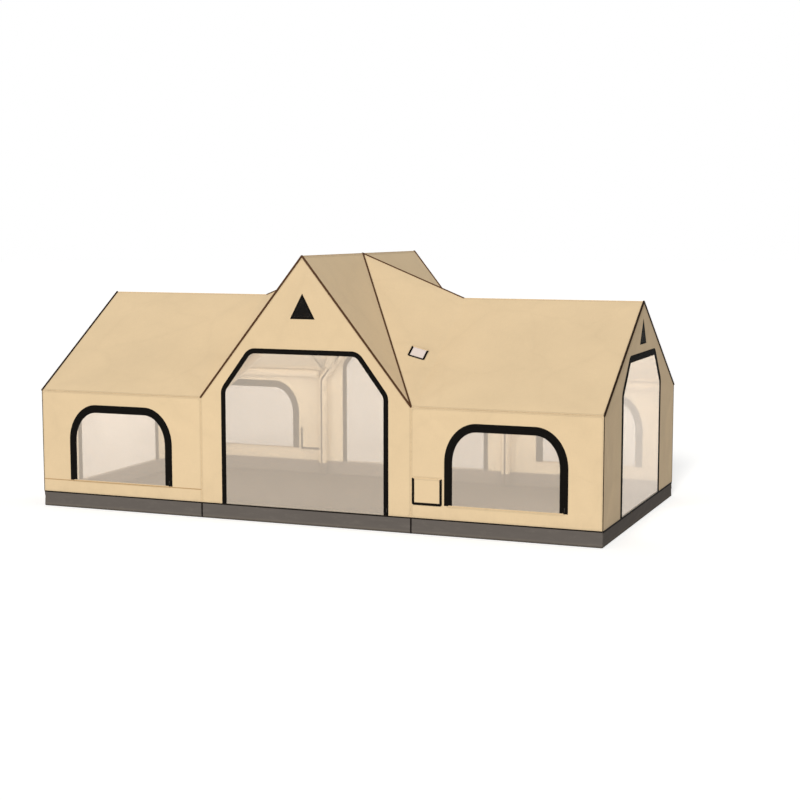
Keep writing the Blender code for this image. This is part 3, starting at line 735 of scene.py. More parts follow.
def paired(inner, outer, step=0.12):
    """Both lines with the same extra points."""
    a_out, b_out = [], []
    for i in range(len(inner) - 1):
        a0, a1, b0, b1 = (np.array(p, float) for p in (inner[i], inner[i + 1], outer[i], outer[i + 1]))
        n = max(1, int(math.ceil(np.linalg.norm(b1 - b0) / step)))
        a_out += [tuple(a0 + (a1 - a0) * k / n) for k in range(n)]
        b_out += [tuple(b0 + (b1 - b0) * k / n) for k in range(n)]
    return a_out + [tuple(inner[-1])], b_out + [tuple(outer[-1])]


def tube(name, points, radius, material, sides=10, squash=1.0, flat_dir=None, cap=True, taper=0.0):
    """A round bar along the points, its ends domed. Metre UV: along, around."""
    pts = [Vector(p) for p in points]
    n = len(pts)
    along = []
    for i in range(n):
        a = (pts[i] - pts[i - 1]).normalized() if i else None
        b = (pts[i + 1] - pts[i]).normalized() if i < n - 1 else None
        along.append(((a or b) + (b or a)).normalized())
    ref = Vector((0, 0, 1)) if abs(along[0].z) < 0.9 else Vector((1, 0, 0))
    side = along[0].cross(ref).normalized()
    rings = []
    u = 0.0
    for i in range(n):
        side = (side - along[i] * side.dot(along[i])).normalized()
        up = along[i].cross(side)
        stretch = 1.0
        if 0 < i < n - 1:
            bend = (pts[i] - pts[i - 1]).angle(pts[i + 1] - pts[i])
            stretch = 1 / max(0.5, math.cos(bend / 2))
        u += (pts[i] - pts[i - 1]).length if i else 0
        rings.append((pts[i], side.copy(), up, u, radius))
    if cap:
        dome = [(math.cos(a), math.sin(a)) for a in (0.5, 0.95, 1.32)]
        first = [(pts[0] - along[0] * radius * s * 0.6, rings[0][1], rings[0][2], -radius * s, radius * c) for c, s in reversed(dome)]
        last = [(pts[-1] + along[-1] * radius * s * 0.6, rings[-1][1], rings[-1][2], u + radius * s, radius * c) for c, s in dome]
        rings = first + rings + last
    verts, uvs, faces = [], [], []
    for centre, s, t, run, r in rings:
        for k in range(sides + 1):
            a = 2 * math.pi * k / sides
            if k < sides:
                verts.append(tuple(centre + s * math.cos(a) * r + t * math.sin(a) * r * squash))
            uvs.append((run, a * radius))
    loops_uv = []
    for i in range(len(rings) - 1):
        for k in range(sides):
            l = (k + 1) % sides
            faces.append((i * sides + k, i * sides + l, (i + 1) * sides + l, (i + 1) * sides + k))
            base = sides + 1
            loops_uv += [uvs[i * base + k], uvs[i * base + k + 1], uvs[(i + 1) * base + k + 1], uvs[(i + 1) * base + k]]
    faces.append(tuple(reversed(range(sides))))
    loops_uv += [uvs[k] for k in reversed(range(sides))]
    faces.append(tuple(range((len(rings) - 1) * sides, len(rings) * sides)))
    loops_uv += [uvs[(len(rings) - 1) * (sides + 1) + k] for k in range(sides)]
    mesh = bpy.data.meshes.new(name)
    mesh.from_pydata(verts, [], faces)
    layer = mesh.uv_layers.new(name="UVMap")
    layer.data.foreach_set("uv", np.array(loops_uv, np.float32).ravel())
    mesh.shade_smooth()
    obj = bpy.data.objects.new(name, mesh)
    bpy.context.scene.collection.objects.link(obj)
    obj.data.materials.append(material)
    fix_normals(obj)
    return obj


# cross-sections: (share across, height above the cloth)
def tape_section(low, high, curl=0.0006):
    return [(0.0, low), (1.0, low), (1.0, high - curl), (0.94, high), (0.5, high), (0.06, high), (0.0, high - curl)]


# ---------------------------------------------------------------- walls
SIDES = (("front", FRONT, 1), ("back", BACK, -1))
for s_index, (side, face, _) in enumerate(SIDES):
    edge_x = BAY_X
    under = HIGH_Z - 0.0062
    doorway = door_arch(MAIN_DOOR, 0.004, WALL_LOW)
    outline = [(edge_x, WALL_LOW), (edge_x, under - GABLE_SLOPE * edge_x), (0, under),
               (-edge_x, under - GABLE_SLOPE * edge_x), (-edge_x, WALL_LOW)] + list(reversed(doorway))
    outline = [tuple(p) for p in outline]
    hole = triangle(VENT_MAIN_Z, 0.020)
    anchors = [(1.5, 1.6, 1.0), (-1.5, 1.6, 1.0), (0, 3.45, 0.8), (1.16, 1.74, -0.7), (-1.16, 1.74, -0.7),
               (0.76, 2.27, 0.8), (-0.76, 2.27, 0.8), (1.5, 0.22, 0.5), (-1.5, 0.22, 0.5), (0, 2.69, 0.4)]
    wall = wall_sheet(f"wall_{side}_centre_cloth", outline, [hole], face, SAND_WALL, anchors, 11 + 7 * s_index,
                      (), slack=0.010, puckers=((WALL_LOW, 0.0015, 0.11),))
    declared(wall, outline, [hole])
    for hand, sign in (("right", 1), ("left", -1)):
        name = hand if side == "front" else {"right": "left", "left": "right"}[hand]
        low = EAVE_Z - 0.0054
        near, far = BAY_X, X1 - 0.0016
        ring = [(sign * near, WALL_LOW), (sign * far, WALL_LOW), (sign * far, low), (sign * near, low)]
        if sign < 0:
            ring = ring[::-1]
        holes = [moved(window_arch(0.004, WINDOW["sill"] - 0.004), sign * WINDOW_X)]
        if sign > 0:
            holes.append([(PORT["left"] - 0.002, PORT["low"] - 0.002), (PORT["right"] + 0.002, PORT["low"] - 0.002),
                          (PORT["right"] + 0.002, PORT["high"] + 0.002), (PORT["left"] - 0.002, PORT["high"] + 0.002)])
        anchors = [(sign * near, low, 1.0), (sign * far, low, 1.0), (sign * near, WALL_LOW, 0.6), (sign * far, WALL_LOW, 0.7),
                   (sign * WINDOW_X - 0.74, WINDOW["sill"], 0.7), (sign * WINDOW_X + 0.74, WINDOW["sill"], 0.7),
                   (sign * WINDOW_X - 0.6, 1.35, -0.5), (sign * WINDOW_X + 0.6, 1.35, -0.5)]
        half = WINDOW["half"] + 0.062
        sill_line = [] if sign > 0 else [((-far, 0.3795), (-WINDOW_X - half, 0.3795)), ((-WINDOW_X + half, 0.3795), (-near, 0.3795))]
        wall = wall_sheet(f"wall_{side}_{name}_cloth", ring, holes, face, SAND_WALL, anchors, 31 + 13 * s_index + 5 * (sign > 0),
                          (), slack=0.010, puckers=((low, 0.0018, 0.16), (WALL_LOW, 0.0015, 0.11), (WINDOW["sill"], 0.0010, 0.09)),
                          sewn=sill_line)
        declared(wall, ring, holes)

for e_index, (side, face) in enumerate((("right", RIGHT), ("left", LEFT))):
    under = WING_Z - 0.0062
    outline = [(Y1, WALL_LOW), (Y1, under - WING_SLOPE * Y1), (0, under), (-Y1, under - WING_SLOPE * Y1), (-Y1, WALL_LOW)]
    outline += list(reversed(door_arch(END_DOOR, 0.004, WALL_LOW)))
    hole = triangle(VENT_END_Z, 0.020)
    anchors = [(Y1, 1.6, 1.0), (-Y1, 1.6, 1.0), (0, 2.87, 0.8), (1.08, 1.77, -0.7), (-1.08, 1.77, -0.7),
               (0.70, 2.2, 0.8), (-0.70, 2.2, 0.8), (Y1, 0.22, 0.6), (-Y1, 0.22, 0.6)]
    # the end walls take the darker canvas copy, which is painted shade
    wall = wall_sheet(f"wall_end_{side}_cloth", outline, [hole], face, SAND_END_SHADED, anchors, 71 + 7 * e_index, (), slack=0.010,
                      puckers=((WALL_LOW, 0.0015, 0.11),))
    declared(wall, outline, [hole])


# ---------------------------------------------------------------- roof
def roof_sheet(name, outline, holes, height, drop, uv_of, anchors, seed, sag, fold=None, stretch=(1.0, 1.0), node=None, step=0.06):
    pts, tris, edge = filled(outline, holes, step, [fold] if fold else [], HEM_ROWS)
    x, y = pts[:, 0], pts[:, 1]
    outer = to_rings(pts, [outline])
    quiet = step_up(edge, 0.0, 0.12)
    z = height(x, y)
    z = z - sag * step_up(outer, 0.12, 0.95) * quiet
    z += quiet * (pulls(x, y, anchors, seed, 1.1, 0.0055, 8) + 0.0035 * ripple(x, y, 0.8, seed + 1) + 0.0013 * ripple(x, y, 0.26, seed + 2))
    z += 0.003 * np.exp(-((outer - 0.08) / 0.05) ** 2) * step_up(edge, 0.0, 0.04)
    top = np.stack([x, y, z], 1)
    down = np.array([0, 0, -CLOTH * drop])
    uv = uv_of(x, y)
    obj = solid_sheet(name, top, tris, down, SAND_ROOF, uv, edge, inner=LINING)
    piece(obj, "tent", [node])
    if fold:
        on = np.where((np.abs(x - fold[0][0]) < 1e-5) & (edge > 0.02))[0]
        on = on[np.argsort(y[on])]
        line = [(x[i], y[i], z[i] - CLOTH * drop - 0.0066) for i in on]
        piece(tube(f"{node}_inner_seam", line, 0.0062, SLEEVE_ZIP, sides=8), "tent")
    declared(obj, outline, holes, stretch=stretch)
    return obj


stove_ring = []
for lx, ly in ((-1, -1), (1, -1), (1, 1), (-1, 1)):
    p = STOVE @ Vector((lx * (STOVE_HALF[0] + LEAF_GAP + 0.002), ly * (STOVE_HALF[1] + LEAF_GAP + 0.002), 0))
    stove_ring.append((p.x, p.y))
wing_stretch, gable_stretch = math.hypot(1, WING_SLOPE), math.hypot(1, GABLE_SLOPE)
for side, sy in (("front", -1), ("back", 1)):
    for hand, sx in (("left", -1), ("right", 1)):
        turn = sx * sy < 0

        def ordered(ring):
            return ring[::-1] if turn else ring

        outline = ordered([(sx * BAY_X, sy * Y1), (0, 0), (sx * X1, 0), (sx * X1, sy * Y1)])
        holes = [stove_ring] if (side, hand) == ("front", "right") else []

        def height(x, y, sx=sx, sy=sy):
            return EAVE_Z + WING_SLOPE * (Y1 - np.abs(y)) + RISE_SLOPE * np.maximum(0, BAY_X - np.abs(x))

        anchors = [(sx * X1, sy * Y1, 1.0), (sx * X1, 0, 0.8), (sx * BAY_X, sy * Y1, 1.1), (0, 0, 0.9), (sx * BAY_X, 0, 0.6)]
        roof_sheet(f"roof_{hand}_{side}_cloth", outline, holes, height, wing_stretch,
                   lambda x, y: np.stack([x, y * wing_stretch], 1), anchors, 101 + 3 * (sx > 0) + 17 * (sy > 0), 0.022,
                   fold=((sx * BAY_X, sy * Y1), (sx * BAY_X, 0)), stretch=(1.0, wing_stretch), node=f"roof_{hand}_{side}")

        outline = ordered([(0, 0), (sx * BAY_X, sy * Y1), (0, sy * Y1)])
        anchors = [(0, sy * Y1, 0.8), (sx * BAY_X, sy * Y1, 1.0), (0, 0, 0.9)]
        roof_sheet(f"roof_gable_{side}_{hand}_cloth", outline, [], lambda x, y: HIGH_Z - GABLE_SLOPE * np.abs(x), gable_stretch,
                   lambda x, y: np.stack([x * gable_stretch, y], 1), anchors, 151 + 3 * (sx > 0) + 17 * (sy > 0), 0.012,
                   stretch=(gable_stretch, 1.0), node=f"roof_gable_{side}_{hand}")

# ---------------------------------------------------------------- piping, seams and bindings
def pipe(name, a, b, radius, material, n=40, out=(0, 0, 0)):
    a, b = Vector(a) + Vector(out), Vector(b) + Vector(out)
    return piece(tube(name, [a.lerp(b, i / n) for i in range(n + 1)], radius, material), "tent")


for side, sy in (("front", -1), ("back", 1)):
    for hand, sx in (("left", -1), ("right", 1)):
        tag = f"{side}_{hand}"
        pipe(f"gable_piping_{tag}", (sx * BAY_X, sy * Y1, EAVE_Z), (0, sy * Y1, HIGH_Z), 0.0140, BROWN_PIPE)
        pipe(f"valley_piping_{tag}", (sx * BAY_X, sy * Y1, EAVE_Z), (0, 0, HIGH_Z), 0.0145, BROWN_PIPE)
        # the end rafters and end corners take the darker piping, whose darker tone is painted shade
        pipe(f"end_rafter_piping_{tag}", (sx * X1, sy * Y1, EAVE_Z), (sx * X1, 0, WING_Z), 0.0140, DARK_PIPE_SHADED)
        pipe(f"end_corner_piping_{tag}", (sx * (X1 - 0.0012), sy * (Y1 - 0.0012), TRAY_Z), (sx * (X1 - 0.0012), sy * (Y1 - 0.0012), EAVE_Z), 0.0052, DARK_PIPE_SHADED)
        pipe(f"eave_seam_{tag}", (sx * BAY_X, sy * Y1, EAVE_Z), (sx * X1, sy * Y1, EAVE_Z), 0.0042, SAND_TAPE)
for hand, sx in (("left", -1), ("right", 1)):
    pipe(f"rise_piping_{hand}", (0, 0, HIGH_Z), (sx * BAY_X, 0, WING_Z), 0.0105, BROWN_PIPE)
    pipe(f"ridge_seam_{hand}", (sx * BAY_X, 0, WING_Z), (sx * X1, 0, WING_Z), 0.0045, SAND_TAPE)
pipe("ridge_seam_high", (0, -Y1, HIGH_Z), (0, Y1, HIGH_Z), 0.0045, SAND_TAPE)

for side, face, _ in SIDES:
    for hand, sign in (("right", 1), ("left", -1)):
        name = hand if side == "front" else {"right": "left", "left": "right"}[hand]
        # the wall's upright seam at the bay, and the groundsheet's seam below it at the bay
        up = [(sign * BAY_X, WALL_LOW + 0.004 + (EAVE_Z - 0.03 - WALL_LOW) * i / 20) for i in range(21)]
        seam = ribbon(f"wall_seam_{side}_{name}", [(x - 0.006, z) for x, z in up], [(x + 0.006, z) for x, z in up], face,
                      tape_section(-0.0004, 0.0011), SAND_TAPE)
        piece(seam, "tent")
        tray_line = [(sign * BAY_X, 0.004 + (TRAY_Z - 0.006) * i / 6) for i in range(7)]
        seam = ribbon(f"tray_seam_{side}_{name}", [(x - 0.011, z) for x, z in tray_line], [(x + 0.011, z) for x, z in tray_line],
                      face, tape_section(-0.0005, 0.0022), SLATE_SEAM)
        piece(seam, "tent")

# ---------------------------------------------------------------- groundsheet: floor and upstand of one coated cloth
def make_tray():
    turn_r, foot_r, thick = 0.012, 0.012, 0.003
    ring = []
    for cx, cy, start in ((X1 - turn_r, Y1 - turn_r, 0), (-X1 + turn_r, Y1 - turn_r, 90),
                          (-X1 + turn_r, -Y1 + turn_r, 180), (X1 - turn_r, -Y1 + turn_r, 270)):
        for n in range(7):
            a = math.radians(start + 15 * n)
            ring.append((cx + turn_r * math.cos(a), cy + turn_r * math.sin(a), math.cos(a), math.sin(a)))
    path = []
    for a, b in zip(ring, ring[1:] + ring[:1]):
        n = max(1, int(math.ceil(math.hypot(b[0] - a[0], b[1] - a[1]) / 0.07)))
        path += [tuple(a[k] + (b[k] - a[k]) * i / n for k in range(4)) for i in range(n)]
    path = np.array(path)
    levels = [(foot_r * (1 - math.sin(t)), foot_r * (1 - math.cos(t))) for t in np.linspace(0, math.pi / 2, 6)]
    levels += [(0.0, z) for z in (0.045, 0.07, 0.095, 0.12, 0.145, 0.165, 0.185, TRAY_Z - 0.0002)]
    run = np.concatenate([[0], np.cumsum(np.hypot(*np.diff(path[:, :2], axis=0).T))])
    verts, faces = [], []
    for inset, z in levels:
        calm = math.sin(math.pi * min(1, max(0, (z - 0.012) / (TRAY_Z - 0.020)))) ** 0.8
        wave = 0.0032 * ripple(run, run * 0.13 + z * 9, 0.42, 401) + 0.0016 * ripple(run, z * 14 + run * 0.2, 0.13, 402)
        push = inset + calm * (0.0016 - wave)
        for (x, y, nx, ny), d in zip(path, push):
            verts.append((x - nx * d, y - ny * d, z + 0.0004))
    n = len(path)
    for k in range(len(levels) - 1):
        for i in range(n):
            j = (i + 1) % n
            faces.append((k * n + i, k * n + j, (k + 1) * n + j, (k + 1) * n + i))
    wall_uv = None
    floor_ring = [(v[0], v[1]) for v in verts[:n]]
    pts, tris, edge = filled(floor_ring, [], 0.075)
    z = 0.0004 + step_up(edge, 0.0, 0.15) * (0.0035 + 0.0030 * ripple(pts[:, 0], pts[:, 1], 0.6, 403)).clip(0.0003)
    base = len(verts)
    verts += [(x, y, h) for (x, y), h in zip(pts, z)]
    faces += [tuple(int(i) + base for i in t[::-1]) for t in tris]
    mesh = bpy.data.meshes.new("groundsheet_tray")
    mesh.from_pydata(verts, [], faces)
    work = bmesh.new()
    work.from_mesh(mesh)
    bmesh.ops.remove_doubles(work, verts=work.verts, dist=0.0006)
    bmesh.ops.recalc_face_normals(work, faces=work.faces)
    low = min(work.faces, key=lambda f: f.calc_center_median().z)
    if low.normal.z > 0:
        bmesh.ops.reverse_faces(work, faces=work.faces)
    # the same surface again, inside it, so that the cloth is closed
    shell = bmesh.ops.solidify(work, geom=list(work.faces), thickness=thick)
    bmesh.ops.recalc_face_normals(work, faces=work.faces)
    work.to_mesh(mesh)
    work.free()
    mesh.shade_smooth()
    obj = bpy.data.objects.new("groundsheet_tray", mesh)
    bpy.context.scene.collection.objects.link(obj)
    obj.data.materials.append(SLATE)
    obj.data.materials.append(SLATE_INNER_PAINTED_LIGHT)
    # the upstand's inward faces take the lighter copy of the groundsheet, which is painted light
    for face in obj.data.polygons:
        at, way = face.center, face.normal
        side = way.x * at.x if abs(at.x) / X1 > abs(at.y) / Y1 else way.y * at.y
        if at.z > 0.014 and side < 0:
            face.material_index = 1
    return piece(obj, "tent", ["groundsheet"])


tray = make_tray()
for tag, face, half in (("front", FRONT, X1), ("back", BACK, X1), ("right", RIGHT, Y1), ("left", LEFT, Y1)):
    line = [(-half + 0.004 + (2 * half - 0.008) * i / 60, 0.0) for i in range(61)]
    low = [(x, 0.1855 if half == Y1 else 0.1935) for x, _ in line]
    high = [(x, 0.2115) for x, _ in line]
    strip = ribbon(f"tray_binding_{tag}", low, high, face, tape_section(-0.0012, 0.0013), SLATE_SEAM)
    piece(strip, "tent")


# ---------------------------------------------------------------- sewn hinges
HINGE_AT = {j["name"]: Vector(j["pos_m"]) for j in frame["record"]["behaviour"]["joints"] if j["type"] == "hinge"}


def sewn_hinge(name, child, face, ends, way, stations, material, thick=0.0007):
    """A strip of tape sewn to the tent on one side of a hinge line and to the leaf on the other, made
    once in the frame's own pose. ends are where it starts and stops along the line, way is the direction to the
    leaf, and stations are (distance from the line, height above the cloth)."""
    at = face.inverted() @ HINGE_AT[f"{child}_hinge"]
    level = 0 if way[1] else 1
    loop = [(d, h + thick / 2) for d, h in stations] + [(d, h - thick / 2) for d, h in reversed(stations)]
    n = max(2, int(math.ceil(abs(ends[1] - ends[0]) / 0.05)))
    verts, faces, uvs = [], [], []
    m = len(loop)
    for i in range(n + 1):
        run = ends[0] + (ends[1] - ends[0]) * i / n
        for d, h in loop:
            flat = [0.0, 0.0]
            flat[level], flat[1 - level] = run, (at.x, at.y)[1 - level] + d * way[1 - level]
            verts.append(tuple(face @ Vector((*flat, h))))
            uvs.append((run, d + 0.012))
    for i in range(n):
        for k in range(m):
            l = (k + 1) % m
            faces.append((i * m + k, (i + 1) * m + k, (i + 1) * m + l, i * m + l))
    faces += [tuple(range(m)), tuple(reversed(range(n * m, (n + 1) * m)))]
    obj = new_object(name, verts, faces, material, uvs, True, sharp=60)
    fix_normals(obj)
    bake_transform(obj)
    return obj


def across(parent_reach, leaf_reach, parent_height, line_height, leaf_height):
    """Stations of a sewn hinge, close together where it bends."""
    tent = [(-parent_reach, parent_height), (-parent_reach * 0.6, parent_height), (-0.0034, parent_height)]
    bend = [(d, line_height) for d in (-0.0016, -0.0011, -0.0006, 0.0, 0.0006, 0.0011, 0.0016)]
    return tent + bend + [(0.0034, leaf_height), (leaf_reach * 0.7, leaf_height), (leaf_reach, leaf_height)]


# ---------------------------------------------------------------- doors
def net_panel(name, outline, face, body, seed, material=None, mid=0.0005, wave=0.0016, step=0.06, thick=0.0008):
    pts, tris, edge = filled(outline, [], step)
    x, y = pts[:, 0], pts[:, 1]
    z = mid + thick / 2 + step_up(edge, 0.0, 0.12) * wave * (0.7 * ripple(x, y, 0.7, seed) + 0.3 * ripple(x, y, 0.22, seed + 1))
    world = np.array([tuple(face @ Vector((a, b, c))) for a, b, c in zip(x, y, z)])
    down = -np.array(face.to_3x3().col[2]) * thick
    return solid_sheet(name, world, tris, down, material or NET, pts, edge)


def off_hinge(line, face, child, reach=0.009):
    """The part of a zip's line that keeps off the upright it is sewn along, where it has no teeth."""
    at = (face.inverted() @ HINGE_AT[f"{child}_hinge"]).x
    return [p for p in line if abs(p[0] - at) > reach]


def zip_coil(name, line, face, height, body, radius=0.0016):
    pts = [face @ Vector((x, z, height)) for x, z in dense(line, 0.10)]
    return piece(tube(name, pts, radius, BLACK_COIL, sides=6, cap=False), body)


for tag, face, door, seed in (("front", FRONT, MAIN_DOOR, 201), ("back", BACK, MAIN_DOOR, 211),
                              ("right", RIGHT, END_DOOR, 221), ("left", LEFT, END_DOOR, 231)):
    foot = WALL_LOW + 0.0006
    a, b = paired(door_arch(door, 0.0006, foot), door_arch(door, door["tape"] + WIDER, foot))
    strip = ribbon(f"door_zip_{tag}_tape", a, b, face, tape_section(LIFT, LIFT + TAPE), BLACK_TAPE)
    piece(strip, "tent", [f"door_zip_{tag}"])
    zip_coil(f"door_zip_{tag}_coil", off_hinge(door_arch(door, 0.0011, foot + 0.002), face, f"door_{tag}"), face, LIFT + TAPE, "tent")

    lining = ribbon(f"door_zip_{tag}_lining", a, b, face, tape_section(-CLOTH - 0.0016, -CLOTH + 0.0003), BLACK_TAPE)
    piece(lining, "tent")
    a, b = paired(door_arch(door, -0.0045, foot), door_arch(door, 0.0060, foot))
    piece(ribbon(f"door_zip_{tag}_placket", a, b, face, tape_section(-0.0041, -0.0031, 0.0002), BLACK_TAPE), "tent")
    bottom = 0.2130
    net = net_panel(f"door_{tag}_net", door_arch(door, -0.010, bottom + 0.004), face, f"door_{tag}", seed,
                    NET if door is MAIN_DOOR else NET_END)
    piece(net, f"door_{tag}", [f"door_{tag}"])
    a, b = paired(door_arch(door, -door["leaf"] - WIDER, bottom), door_arch(door, -LEAF_GAP, bottom))
    strip = piece(ribbon(f"door_{tag}_tape", a, b, face, tape_section(-0.0008, LIFT + TAPE), BLACK_TAPE), f"door_{tag}")
    coil = zip_coil(f"door_{tag}_coil", off_hinge(door_arch(door, -0.0019, bottom + 0.002), face, f"door_{tag}"), face,
                    LIFT + TAPE - 0.0004, f"door_{tag}")
    half = door["half"] - door["leaf"] + 0.002
    line = [-half + 2 * half * i / 24 for i in range(25)]
    hem = ribbon(f"door_{tag}_hem", [(x, bottom + 0.0005) for x in line], [(x, bottom + 0.018) for x in line], face,
                 tape_section(-0.0006, 0.0021), NET_HEM)
    piece(hem, f"door_{tag}")
    sewn_hinge(f"door_{tag}_sewn_edge", f"door_{tag}", face, (bottom + 0.001, door["knee"] - 0.16 * door["round"]), (1, 0),
               across(0.0085, 0.0085, 0.0030, 0.0030, 0.0030), BLACK_TAPE)
    declared(net, door_arch(door, -0.010, bottom + 0.004))

# ---------------------------------------------------------------- windows
for side, face in (("front", FRONT), ("back", BACK)):
    for hand, sign in (("right", 1), ("left", -1)):
        tag = f"{side}_" + (hand if side == "front" else {"right": "left", "left": "right"}[hand])
        wx = sign * WINDOW_X
        sill = WINDOW["sill"]
        a, b = paired(moved(window_arch(0.0006, sill), wx), moved(window_arch(WINDOW["tape"] + WIDER, sill), wx))
        strip = ribbon(f"window_zip_{tag}_tape", a, b, face, tape_section(LIFT, LIFT + TAPE), BLACK_TAPE)
        piece(strip, "tent", [f"window_zip_{tag}"])
        zip_coil(f"window_zip_{tag}_coil", moved(window_arch(0.0011, sill + 0.002), wx), face, LIFT + TAPE, "tent")

        lining = ribbon(f"window_zip_{tag}_lining", a, b, face, tape_section(-CLOTH - 0.0016, -CLOTH + 0.0003), BLACK_TAPE)
        piece(lining, "tent")
        a, b = paired(moved(window_arch(-0.0045, sill), wx), moved(window_arch(0.0060, sill), wx))
        piece(ribbon(f"window_zip_{tag}_placket", a, b, face, tape_section(-0.0041, -0.0031, 0.0002), BLACK_TAPE), "tent")
        low = sill + LEAF_GAP + 0.0005
        body = f"window_{tag}"
        net = net_panel(f"window_{tag}_net", moved(window_arch(-0.010, low + 0.003), wx), face, body, 241 + 3 * sign + 7 * (side == "back"))
        piece(net, body, [body])
        a, b = paired(moved(window_arch(-WINDOW["leaf"] - WIDER, low), wx), moved(window_arch(-LEAF_GAP, low), wx))
        strip = piece(ribbon(f"window_{tag}_tape", a, b, face, tape_section(-0.0008, LIFT + TAPE), BLACK_TAPE), body)
        coil = zip_coil(f"window_{tag}_coil", moved(window_arch(-0.0019, low + 0.002), wx), face, LIFT + TAPE - 0.0004, body)
        half = WINDOW["half"] - WINDOW["leaf"] + 0.002
        line = [wx - half + 2 * half * i / 20 for i in range(21)]
        hem = ribbon(f"window_{tag}_hem", [(x, low + 0.0003) for x in line], [(x, low + 0.014) for x in line], face,
                     tape_section(-0.0006, 0.0021), NET_HEM)
        piece(hem, body)
        half = WINDOW["half"] - 0.0015
        sewn_hinge(f"window_{tag}_sewn_edge", body, face, (wx - half, wx + half), (0, 1),
                   across(0.0105, 0.0058, 0.0006, 0.0030, 0.0029), SAND_TAPE)
        declared(net, moved(window_arch(-0.010, low + 0.003), wx))

# ---------------------------------------------------------------- vents
for tag, face, base in (("front", FRONT, VENT_MAIN_Z), ("back", BACK, VENT_MAIN_Z),
                        ("right", RIGHT, VENT_END_Z), ("left", LEFT, VENT_END_Z)):
    net = net_panel(f"vent_{tag}_net", triangle(base, 0.004), face, "tent", 261, NET_BLACK, mid=0.0008, wave=0.0006, step=0.03)
    piece(net, "tent", [f"vent_{tag}"])
    a, b = paired(triangle(base, 0.024) + triangle(base, 0.024)[:1], triangle(base, 0.0) + triangle(base, 0.0)[:1], 0.05)
    strip = ribbon(f"vent_{tag}_hem", a[:-1], b[:-1], face, tape_section(LIFT, LIFT + TAPE), BLACK_TAPE, closed=True)
    piece(strip, "tent")
    declared(net, triangle(base, 0.004))


# ---------------------------------------------------------------- flaps over the ports
def u_line(left, right, low, high, off):
    """From the upper left, down, along and up again, moved out by off, with rounded lower corners."""
    l, r, b = left - off, right + off, low - off
    radius = max(0.004, 0.012 + off)
    return [(l, high)] + corner((l, high), (l, b), (r, b), radius, 5) + corner((l, b), (r, b), (r, high), radius, 5) + [(r, high)]


def flap(name, node, face, left, right, low, high, material, wide, body, tape_mat):
    # the lower corners are rounded with the tape
    ring = [(left, high)] + corner((left, high), (left, low), (right, low), 0.012, 2) \
        + corner((left, low), (right, low), (right, high), 0.012, 2) + [(right, high)]
    pts, tris, edge = filled(ring, [], 0.02, (), HEM_ROWS)
    z = -0.0006 + step_up(edge, 0, 0.05) * 0.0005 * ripple(pts[:, 0], pts[:, 1], 0.12, 281)
    world = np.array([tuple(face @ Vector((a, b, c))) for (a, b), c in zip(pts, z)])
    cloth = solid_sheet(name, world, tris, -np.array(face.to_3x3().col[2]) * CLOTH, material, pts, edge, inner=LINING)
    piece(cloth, body, [node])
    a, b = paired(u_line(left, right, low, high - 0.006, -wide), u_line(left, right, low, high - 0.006, 0.0), 0.05)
    inner = piece(ribbon(f"{name}_tape", a, b, face, tape_section(-0.0006, 0.0006, 0.0003), tape_mat), body)
    back = piece(ribbon(f"{name}_tape_back", a, b, face, tape_section(-0.0027, -0.0016, 0.0003), tape_mat), body)
    # binding over the cloth's cut edge, between the two tapes
    a, b = paired(u_line(left, right, low, high - 0.006, -0.0012), u_line(left, right, low, high - 0.006, 0.0005), 0.05)
    binding = piece(ribbon(f"{name}_binding", a, b, face, tape_section(-0.0023, 0.0003, 0.0002), tape_mat), body)
    gap = LEAF_GAP
    a, b = paired(u_line(left - gap, right + gap, low - gap, high, 0.0), u_line(left - gap, right + gap, low - gap, high, wide), 0.05)
    outer = piece(ribbon(f"{name}_zip", a, b, face, tape_section(-0.0006, 0.0007, 0.0003), tape_mat), "tent")
    piece(ribbon(f"{name}_zip_lining", a, b, face, tape_section(-0.0027, -0.0010, 0.0003), tape_mat), "tent")
    a, b = paired(u_line(left, right, low, high, -0.0045), u_line(left, right, low, high, 0.0060), 0.05)
    piece(ribbon(f"{name}_placket", a, b, face, tape_section(-0.0041, -0.0031, 0.0002), tape_mat), "tent")
    line = [left - gap - wide + (right - left + 2 * gap + 2 * wide) * i / 12 for i in range(13)]
    hinge = piece(ribbon(f"{name}_hinge", [(x, high + 0.0022) for x in line], [(x, high + 0.014) for x in line], face,
                         tape_section(-0.0006, 0.0007, 0.0003), SAND_TAPE), "tent")
    sewn_hinge(f"{name}_sewn_edge", body, face, (left + 0.0005, right - 0.0005), (0, -1),
               across(0.0105, 0.0085, 0.0012, 0.0006, -0.0001), HINGE_TAPE[body], 0.0006)
    declared(cloth, ring)


HINGE_TAPE = {"port_flap_front": SAND_TAPE, "port_flap_back": SAND_TAPE, "stove_flap": SAND_TAPE}
for side, face in (("front", FRONT), ("back", BACK)):
    flap(f"port_flap_{side}_cloth", f"port_flap_{side}", face, PORT["left"] + LEAF_GAP, PORT["right"] - LEAF_GAP,
         PORT["low"] + LEAF_GAP, PORT["high"] - LEAF_GAP, SAND_WALL, 0.016, f"port_flap_{side}", BLACK_TAPE)
flap("stove_flap_cloth", "stove_flap", STOVE, -STOVE_HALF[0], STOVE_HALF[0], -STOVE_HALF[1], STOVE_HALF[1], PALE_CLOTH, 0.013,
     "stove_flap", BLACK_TAPE)

# seam on the line of the window sills
for side, face in (("front", FRONT), ("back", BACK)):
    # only the wing without a port has it, from the bay's seam to the corner
    name = {"front": "left", "back": "right"}[side]
    xs = [-(BAY_X + 0.007 + (X1 - 0.006 - BAY_X - 0.007) * i / 60) for i in range(61)]
    strip = ribbon(f"sill_seam_{side}_{name}", [(x, 0.3730) for x in xs], [(x, 0.3860) for x in xs], face,
                   tape_section(-0.0008, 0.0010, 0.0004), SILL_TAPE)
    piece(strip, "tent")


